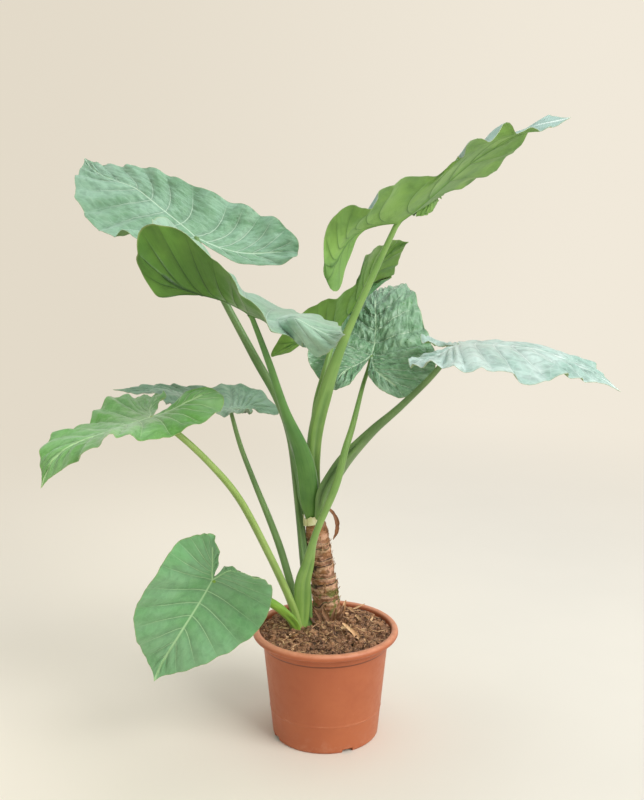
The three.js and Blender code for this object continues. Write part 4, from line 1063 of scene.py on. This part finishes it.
def stub(material):
    x, y = TRUNK_LINE[5][:2]
    rows, columns = STUB_GRID
    U, V = (a.ravel() for a in np.meshgrid(np.linspace(0, 1, columns), np.linspace(0, 1, rows)))
    angle = np.radians(STUB_FROM + (STUB_TO - STUB_FROM) * U)
    dip = STUB_DIP * np.exp(-((U - STUB_DIP_PLACE) / STUB_DIP_WIDTH) ** 2)
    height = STUB_HEIGHT * (1 - STUB_SLOPE * U - dip) * (1 + 0.14 * noise(rows_of(U * 13, 0, 0), 8))
    radius = STUB_RADIUS + STUB_FLARE * V + 0.5 * noise(rows_of(U * 14, V * 3, 0), 21)
    z = STUB_BOTTOM + STUB_CLIMB * U + (height + STUB_SUNK) * V
    middle = rows_of(x + radius * np.cos(angle), y + radius * np.sin(angle), z)
    half = rows_of(np.cos(angle), np.sin(angle), 0) * 1.2 * (1 - 0.45 * V)[:, None]
    points = np.vstack([middle + half, middle - half])
    made = piece("cut_sheath", points, orient(points, sheet_faces(rows, columns)), [material])
    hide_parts("sheath_stub")


# Places and half widths of the dried sheath, and the direction that it faces
DRY_LINE = [
    (-6, 33, 477, 5), (10, 39, 465, 5), (19, 37, 453, 6), (23, 35, 441, 7.5), (23.5, 35, 428, 7),
    (21, 36, 415, 5), (16, 38, 402, 1.5),
]
DRY_FACING = unit(np.array([0.35, -1, 0.15]))


def dry_sheath(material):
    t = np.linspace(0, len(DRY_LINE) - 1, 46)
    rows = through(DRY_LINE, t)
    wides, normals = frames(rows[:, :3], DRY_FACING)
    halves = rows[:, 3] * 0.62 * (1 + 0.16 * noise(rows_of(t * 2.2, 0, 0), 5))
    curl = rows[:, :3] + normals * (0.9 * noise(rows_of(t * 3, 4, 0), 9))[:, None]
    points, faces = strip_solid(curl, wides, normals, halves, 0.9, 0.55, 8)
    made = piece("dried_sheath", points, orient(points, faces), [material])
    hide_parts("dry_sheath")


# ---------------------------------------------------------------- pot and soil

POT_SIDES = 180
POT_FLOOR = 3
POT_FOOT_RADIUS = 105.5
POT_WALL_LOW = (109.6, 4)
POT_WALL_HIGH = (128.3, 196)
POT_LINE_HEIGHT = 60
POT_BAND_RADIUS = 132
POT_BAND_TOP = 213
POT_RIM_RADIUS = 150
POT_RIM_TOP = 228
POT_RIM_INNER = 136
POT_RIM_ROUND = (POT_RIM_TOP - POT_BAND_TOP) / 2
POT_WALL = 2.9
POT_SHARP = 38  # edges that turn by more degrees than this stay sharp
NOTCH_WIDTH = 23
NOTCH_HEIGHT = 8
NOTCH_DEPTH = 16
NOTCH_ANGLES = (-66, 24, 114, 204)
BOX_FACES = [[0, 1, 3, 2], [4, 6, 7, 5], [0, 4, 5, 1], [2, 3, 7, 6], [0, 2, 6, 4], [1, 5, 7, 3]]


def wall_radius(z):
    share = (z - POT_WALL_LOW[1]) / (POT_WALL_HIGH[1] - POT_WALL_LOW[1])
    return POT_WALL_LOW[0] + share * (POT_WALL_HIGH[0] - POT_WALL_LOW[0])


def pot_profile():
    """Radius and height of the pot's section, from the middle of its foot round to that of its floor."""
    foot, low, high, band = POT_FOOT_RADIUS, POT_WALL_LOW[0], POT_WALL_HIGH[0], POT_BAND_RADIUS
    profile = [(0.01, 0), (foot - 14, 0), (foot - 12, 0), (foot, 0), (foot + 1.9, 0.5), (low - 1.0, 1.7),
               (low - 0.3, 3)]
    # the wall, with a moulded line
    profile += [(wall_radius(z), z) for z in (5, 8, 12, 20, 30, 40, 48, POT_LINE_HEIGHT - 4)]
    for off, rise in ((-2.6, 0), (-1.2, 0.5), (0, 0.7), (1.2, 0.5), (2.6, 0)):
        profile.append((wall_radius(POT_LINE_HEIGHT + off) + rise, POT_LINE_HEIGHT + off))
    profile += [(wall_radius(z), z) for z in (66, 80, 100, 120, 140, 160, 178, 188, 193, 195)]
    # the band, the rolled rim and the inside
    profile += [(high + 0.4, 195.8), (high + 1.6, 196.6), (band - 1.0, 197.4), (band - 0.3, 198.4),
                (band, 200), (band + 0.2, 206), (band + 0.5, POT_BAND_TOP - 1.5),
                (band + 1.4, POT_BAND_TOP - 0.4), (band + 3, POT_BAND_TOP)]
    for a in np.radians(np.linspace(-90, 90, 17)):
        profile.append((POT_RIM_RADIUS - POT_RIM_ROUND + POT_RIM_ROUND * math.cos(a),
                        POT_BAND_TOP + POT_RIM_ROUND + POT_RIM_ROUND * math.sin(a)))
    for out, down in ((3.5, 0.1), (1.6, 0.8), (0.5, 2.4), (0, 4.5)):
        profile.append((POT_RIM_INNER + out, POT_RIM_TOP - down))
    profile += [(POT_RIM_INNER - 1, 217), (band - POT_WALL, 212), (band - POT_WALL - 1, 200)]
    profile += [(wall_radius(z) - POT_WALL, z) for z in (197, 190, 7)]
    return np.array(profile + [(foot - 2, POT_FLOOR), (0.01, POT_FLOOR)])


def notch_cutter():
    """Boxes where the foot's drainage notches are."""
    boxes = []
    inner = NOTCH_DEPTH / 2 - POT_FOOT_RADIUS - 1
    outer = -NOTCH_DEPTH / 2 - POT_FOOT_RADIUS - 1
    for a in np.radians(NOTCH_ANGLES):
        corners = []
        for corner in range(8):
            x = NOTCH_WIDTH / 2 if corner & 4 else -NOTCH_WIDTH / 2
            y = inner if corner & 2 else outer
            z = NOTCH_HEIGHT if corner & 1 else -NOTCH_HEIGHT
            corners.append((x * math.cos(a) - y * math.sin(a), x * math.sin(a) + y * math.cos(a), z))
        boxes.append((np.array(corners), BOX_FACES))
    return linked("notches", new_mesh("notches", *gather(boxes)))


def pot(material):
    profile = pot_profile()
    angles = round_angles(POT_SIDES)
    radius, height = profile[:, :1], profile[:, 1:]
    points = rows_of(radius * np.cos(angles), radius * np.sin(angles), height).reshape(-1, 3)
    faces = orient(points, tube_faces(len(profile), POT_SIDES))
    made = piece("pot_shell", points, faces, [material], sharp=POT_SHARP)
    cutter = notch_cutter()
    modifier = made.modifiers.new("notches", "BOOLEAN")
    modifier.object = cutter
    modifier.solver = "EXACT"
    evaluated = made.evaluated_get(bpy.context.evaluated_depsgraph_get())
    carved = bpy.data.meshes.new_from_object(evaluated)
    made.modifiers.clear()
    made.data = carved
    carved.set_sharp_from_angle(angle=math.radians(POT_SHARP))
    bpy.data.objects.remove(cutter)
    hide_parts("pot")


SOIL_EDGE = 220
SOIL_MOUND = 231
SOIL_RADIUS = POT_RIM_INNER - 1.2
SOIL_DEPTH = 205.0
SOIL_GRID = (96, 260)
SCATTER_EDGE = 131  # distance from the middle within which fibres and chips stay
CRUMB_EDGE = 134
CRUMB_COUNT = 900
CRUMB_SEED = 404
CHIP_COUNT = 70
CHIP_SEED = 5150
# places in plan of the stems' feet and their radii
STEM_FEET = [(4, 72, 29), (-36, 19, 12), (-50, 6, 14), (-54, 2, 14), (-55, 16, 13), (-58, -6, 14)]


def soil_height(x, y):
    share = np.hypot(x, y) / SOIL_RADIUS
    where = rows_of(x, y, 0.0)
    lumps = 3.8 * layered(where / 24, 31, 2) + 4.0 * layered(where / 12, 51, 3)
    pits = 18.0 * np.clip(noise(where / 13, 71) - 0.3, 0, 1)
    rise = (lumps * 0.62 - pits) * (0.45 + 0.55 * smooth(1.0, 0.85, share))
    return SOIL_MOUND + (SOIL_EDGE - SOIL_MOUND) * share ** 2 + rise


def soil(material):
    rings, spokes = SOIL_GRID
    radii = np.linspace(0.004, 1, rings) ** 0.8 * SOIL_RADIUS
    R, A = (a.ravel() for a in np.meshgrid(radii, round_angles(spokes), indexing="ij"))
    x, y = R * np.cos(A), R * np.sin(A)
    foot = rows_of(x[-spokes:] * 0.97, y[-spokes:] * 0.97, SOIL_DEPTH)
    points = np.vstack([rows_of(x, y, soil_height(x, y)), foot])
    made = piece("peat", points, orient(points, tube_faces(rings + 1, spokes)), [material], sharp=180)
    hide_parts("soil")


def stem_clearance(x, y):
    """Distance in plan from the stems' feet."""
    return min(math.hypot(x - a, y - b) - r for a, b, r in STEM_FEET)


def crumbs(material):
    work = bmesh.new()
    bmesh.ops.create_icosphere(work, subdivisions=2, radius=1.0)
    ball = np.array([v.co[:] for v in work.verts])
    ball_faces = [[v.index for v in f.verts] for f in work.faces]
    work.free()
    draw = random_from(CRUMB_SEED)
    parts = []
    while len(parts) < CRUMB_COUNT:
        reach, x, y = scatter(draw, CRUMB_EDGE - 1)
        size = 1.1 + 5.4 * draw() ** 3
        stretch = np.array([0.7 + 0.9 * draw(), 0.7 + 0.6 * draw(), 0.5 + 0.5 * draw()])
        turn = draw() * 2 * math.pi
        if reach + size * 1.6 > CRUMB_EDGE or stem_clearance(x, y) < size:
            continue
        z = float(soil_height(np.array([x]), np.array([y]))[0])
        lump = ball * (1 + 0.42 * noise(ball * 1.4 + len(parts) * 3.7, 12))[:, None] * stretch * size
        c, s = math.cos(turn), math.sin(turn)
        lump = lump @ np.array([[c, s, 0], [-s, c, 0], [0, 0, 1]])
        parts.append((lump + [x, y, z + 0.25 * size], ball_faces))
    heap("peat_crumbs", parts, material, 60)


def strand(points, radius, sides=5):
    """A thin closed tube through points that narrows to its ends."""
    along = unit(np.gradient(points, axis=0))
    wide = unit(np.cross(along, [0.2, 0.1, 1.0]))
    deep = np.cross(along, wide)
    angles = round_angles(sides)
    taper = radius * (0.35 + 0.65 * np.sin(np.pi * np.linspace(0.08, 0.92, len(points))))
    ring = np.cos(angles)[None, :, None] * wide[:, None] + np.sin(angles)[None, :, None] * deep[:, None]
    rows = (points[:, None] + ring * taper[:, None, None]).reshape(-1, 3)
    return rows, tube_faces(len(points), sides)


def fibres(name, material, seed, count, longest, radius):
    draw = random_from(seed)
    u = np.linspace(-0.5, 0.5, 11)
    parts = []
    while len(parts) < count:
        _, x, y = scatter(draw, SCATTER_EDGE - 5)
        step = longest * (0.35 + 0.65 * draw()) / 10
        heading, bend, arch = draw() * 2 * math.pi, (draw() - 0.5) * 3.2, draw() * 2.4
        thick = radius * (0.6 + 0.8 * draw())
        angle = heading + bend * u
        dx, dy = np.cumsum(np.cos(angle)) * step, np.cumsum(np.sin(angle)) * step
        px, py = x + dx - dx.mean(), y + dy - dy.mean()
        clear = min(stem_clearance(a, b) for a, b in zip(px, py))
        if np.hypot(px, py).max() > SCATTER_EDGE or clear < 1.5:
            continue
        ground = np.convolve(np.pad(soil_height(px, py), 2, mode="edge"), np.ones(5) / 5, mode="valid")
        pz = ground + 0.8 + arch * (1 - (2 * u) ** 2) + 0.6 * np.sin(6 * u + heading)
        parts.append(strand(rows_of(px, py, pz), thick))
    heap(name, parts, material)


# the largest husk chips on the soil: x, y, heading in degrees, length, width
LARGE_CHIPS = [
    (44, -28, -42, 34, 10), (-62, -62, 12, 30, 4), (8, -40, 60, 20, 8), (-8, -82, 50, 22, 5),
    (58, 62, 15, 30, 4), (96, 40, 55, 16, 5), (-30, -50, 75, 16, 6), (30, 20, 40, 30, 7),
]


def chips(material):
    """Flat curled husk pieces on the soil: the largest ones, then random ones."""
    draw = random_from(CHIP_SEED)
    wanted = list(LARGE_CHIPS)
    while len(wanted) < CHIP_COUNT:
        _, x, y = scatter(draw, SCATTER_EDGE - 9)
        wanted.append((x, y, draw() * 360, 8 + 18 * draw() ** 2, 2.2 + 4.2 * draw()))
    u = np.linspace(-0.5, 0.5, 12)
    parts = []
    for x, y, heading, length, width in wanted:
        if stem_clearance(x, y) < width / 2 + 2 or math.hypot(x, y) + length / 2 > SCATTER_EDGE:
            continue
        c, s = math.cos(math.radians(heading)), math.sin(math.radians(heading))
        bend = (draw() - 0.5) * 0.7
        px, py = x + length * (u * c - bend * u * u * s), y + length * (u * s + bend * u * u * c)
        tilt, curl = (draw() - 0.5) * 0.5, 0.6 * draw()
        ground = soil_height(px, py)
        pz = ground.mean() * 0.5 + ground * 0.5 + 1.6 + tilt * length * u + curl * 10 * u * u
        centres = rows_of(px, py, pz)
        along = unit(np.gradient(centres, axis=0))
        roll = (draw() - 0.5) * 1.4
        side = unit(np.cross(along, [0, 0, 1]))
        wides = unit(side * math.cos(roll) + np.array([0, 0, math.sin(roll)]))
        halves = width / 2 * np.sin(np.pi * (0.1 + 0.86 * (u + 0.5))) ** 0.6
        parts.append(strip_solid(centres, wides, np.cross(wides, along), halves, 0.7, 0.4, 4))
    heap("husk_chips", parts, material)


# foot and top (x, y, z) and width of the flakes that lean on the soil
PALE_FLAKES = [
    (66, -52, 227, 35, -44, 253, 9), (34, 79, 226, 46, 85, 251, 7), (60, 108, 222, 86, 114, 231, 4),
    (-70, -48, 226, -56, -62, 238, 5),
]
DARK_FLAKES = [
    (-7, 16, 230, -23, 30, 252, 9), (5, 12, 230, -3, 28, 258, 11), (16, 16, 230, 22, 30, 255, 9),
    (-19, 14, 230, -36, 26, 248, 8), (27, 42, 229, 38, 50, 253, 7), (26, 22, 230, 36, 26, 245, 7),
]


def leaning_flakes(name, material, rows):
    """Curled dry flakes that stand up from the soil."""
    u = np.linspace(-0.12, 1, 12)
    above = np.clip(u, 0, 1)
    parts = []
    for number, row in enumerate(rows):
        foot, top, width = np.array(row[:3], float), np.array(row[3:6], float), row[6]
        centres = foot + (top - foot) * u[:, None]
        centres[:, 1] -= 3.5 * np.sin(np.pi * above) ** 2
        centres[:, 0] += 1.6 * np.sin(4.2 * u + number)
        turned = 0.7 * np.sin(2.1 * number + 1.8 * u)
        facing = rows_of(np.sin(turned), -np.cos(turned), 0.3)
        ragged = 1 + 0.16 * np.sin(9.0 * u + 2 * number)
        halves = width / 2 * np.sin(np.pi * (0.3 + 0.64 * above)) ** 0.7 * ragged
        parts.append(strip_solid(centres, *frames(centres, facing), halves, 0.7, 0.5, 5))
    heap(name, parts, material)


# ---------------------------------------------------------------- stage

BACKDROP_LEFT = (227, 218, 201)
BACKDROP_RIGHT = (241, 233, 218)
CEILING = (178, 181, 184)
# the floor is painted lighter on the left and darker on the right: painted light that evens out the key lamp
# from the right
FLOOR_LEFT = (246, 239, 224)
FLOOR_RIGHT = (229, 225, 215)
FLOOR_GRAIN = (244, 238, 227)
FLOOR_SIZE = 30.0
FLOOR_FADE = (0.9, 3.2)  # distances in metres over which the floor turns into the backdrop
CAMERA_PLACE = (-0.007, -2.134, 1.130)
CAMERA_TILT = 78.7
CAMERA_LENS = 49.5
LIGHT_TARGET = Vector((0, 0, 0.6))
LIGHTS = [  # name, place, size, power, tint
    ("key", (3.4, -3.0, 4.0), 3.5, 240, (1.0, 0.99, 0.97)),
    ("top", (0.2, 0.4, 4.2), 2.6, 44, (1.0, 1.0, 1.0)),
]


def backdrop_colour(nodes, direction):
    """A little darker on the left than on the right, as seen along a direction."""
    return nodes.mix(nodes.ramp(nodes.axis(direction, "X"), -0.3, 0.3), BACKDROP_LEFT, BACKDROP_RIGHT)


def floor_paint():
    """Paper that fades into the backdrop's colour with distance."""
    paint = Paint("floor_paper")
    space = paint.space
    # painted light: lighter on the left and darker on the right, against the key lamp's fall from the right
    paint.ground(paint.ramp(paint.axis(space, "X"), -0.7, 0.7), FLOOR_LEFT, FLOOR_RIGHT)
    paint.coat(paint.ramp(paint.cloud(space, 3, 2, 0.5), 0.3, 0.7, 0.0, 0.12), FLOOR_GRAIN)
    paint.finish(0.9, Specular_IOR_Level=0.1)
    reach = paint.node("ShaderNodeVectorMath", {0: space}, operation="LENGTH").outputs["Value"]
    toward = paint.node("ShaderNodeVectorMath", {0: space}, operation="NORMALIZE").outputs["Vector"]
    glow = paint.node("ShaderNodeEmission", {"Color": backdrop_colour(paint, toward), "Strength": 1.0})
    both = {0: paint.ramp(reach, *FLOOR_FADE), 1: paint.shader.outputs[0], 2: glow.outputs[0]}
    mixed = paint.node("ShaderNodeMixShader", both).outputs[0]
    paint.plug(paint.tree.nodes["Material Output"].inputs["Surface"], mixed)
    return paint.material


def stage_scene():
    # Camera at the photograph's viewing angle
    camera = linked("camera", bpy.data.cameras.new("camera"))
    camera.data.sensor_width = 36
    camera.data.lens = CAMERA_LENS
    camera.location = CAMERA_PLACE
    camera.rotation_euler = (math.radians(CAMERA_TILT), 0, 0)
    bpy.context.scene.camera = camera

    size = FLOOR_SIZE
    floor_mesh = bpy.data.meshes.new("floor")
    corners = [(-size, -size, 0), (size, -size, 0), (size, size, 0), (-size, size, 0)]
    floor_mesh.from_pydata(corners, [], [(0, 1, 2, 3)])
    floor_mesh.materials.append(floor_paint())
    floor = linked("floor", floor_mesh)

    # Studio walls in the backdrop's colour and a dimmer ceiling
    world = bpy.data.worlds.new("studio")
    world.use_nodes = True
    walls = Nodes(world.node_tree)
    direction = walls.node("ShaderNodeTexCoord").outputs["Generated"]
    height = walls.ramp(walls.axis(direction, "Z"), 0.2, 0.75)
    background = world.node_tree.nodes["Background"]
    walls.plug(background.inputs["Color"], walls.mix(height, backdrop_colour(walls, direction), CEILING))
    background.inputs["Strength"].default_value = 1.0
    bpy.context.scene.world = world

    for name, place, size, power, tint in LIGHTS:
        lamp = bpy.data.lights.new(name, "AREA")
        lamp.shape = "RECTANGLE"
        lamp.size = lamp.size_y = size
        lamp.energy = power
        lamp.color = tint
        made = linked(name, lamp)
        made.location = place
        made.rotation_euler = (LIGHT_TARGET - Vector(place)).to_track_quat("-Z", "Y").to_euler()
    bpy.context.scene.view_settings.view_transform = "Standard"


# ---------------------------------------------------------------- making

stage_scene()
leaf_materials = {}
for look_name, look in LOOKS.items():
    leaf_materials[look_name] = (
        leaf_paint(f"leaf_{look_name}_upper", look, True),
        leaf_paint(f"leaf_{look_name}_under", look, False),
    )
stalk_materials = {name: stalk_paint(f"stalk_{name}", *look) for name, look in STALK_LOOKS.items()}
for number, data in LEAVES.items():
    plate = blade(number, *leaf_materials[data["look"]])
    stalk(number, stalk_materials[data["stalk_look"]], plate)
trunk(trunk_paint())
husk = husk_paint("husk", (240, 204, 158), (216, 172, 126), (150, 106, 70))
trunk_flakes(husk_paint("old_leaf_bases", (196, 158, 116), (158, 118, 82), (96, 66, 44)))
stub(husk_paint("cut_sheath_flesh", (246, 240, 208), (226, 226, 168), (186, 176, 116), 90))
dry_sheath(husk_paint("dried_sheath_skin", (176, 128, 88), (140, 92, 60), (92, 56, 36)))
pot(pot_paint())
soil(soil_paint("peat"))
crumbs(soil_paint("peat_lumps"))
fibres("pale_fibres", husk, 21, 90, 30, 0.8)
fibres("dark_fibres", husk_paint("dark_roots", (112, 82, 58), (86, 60, 42), (58, 40, 28)), 22, 130, 26, 0.5)
chips(husk)
leaning_flakes("pale_flakes", husk, PALE_FLAKES)
old_bark = husk_paint("old_bark", (150, 108, 74), (112, 76, 50), (66, 44, 30))
leaning_flakes("dark_flakes", old_bark, DARK_FLAKES)
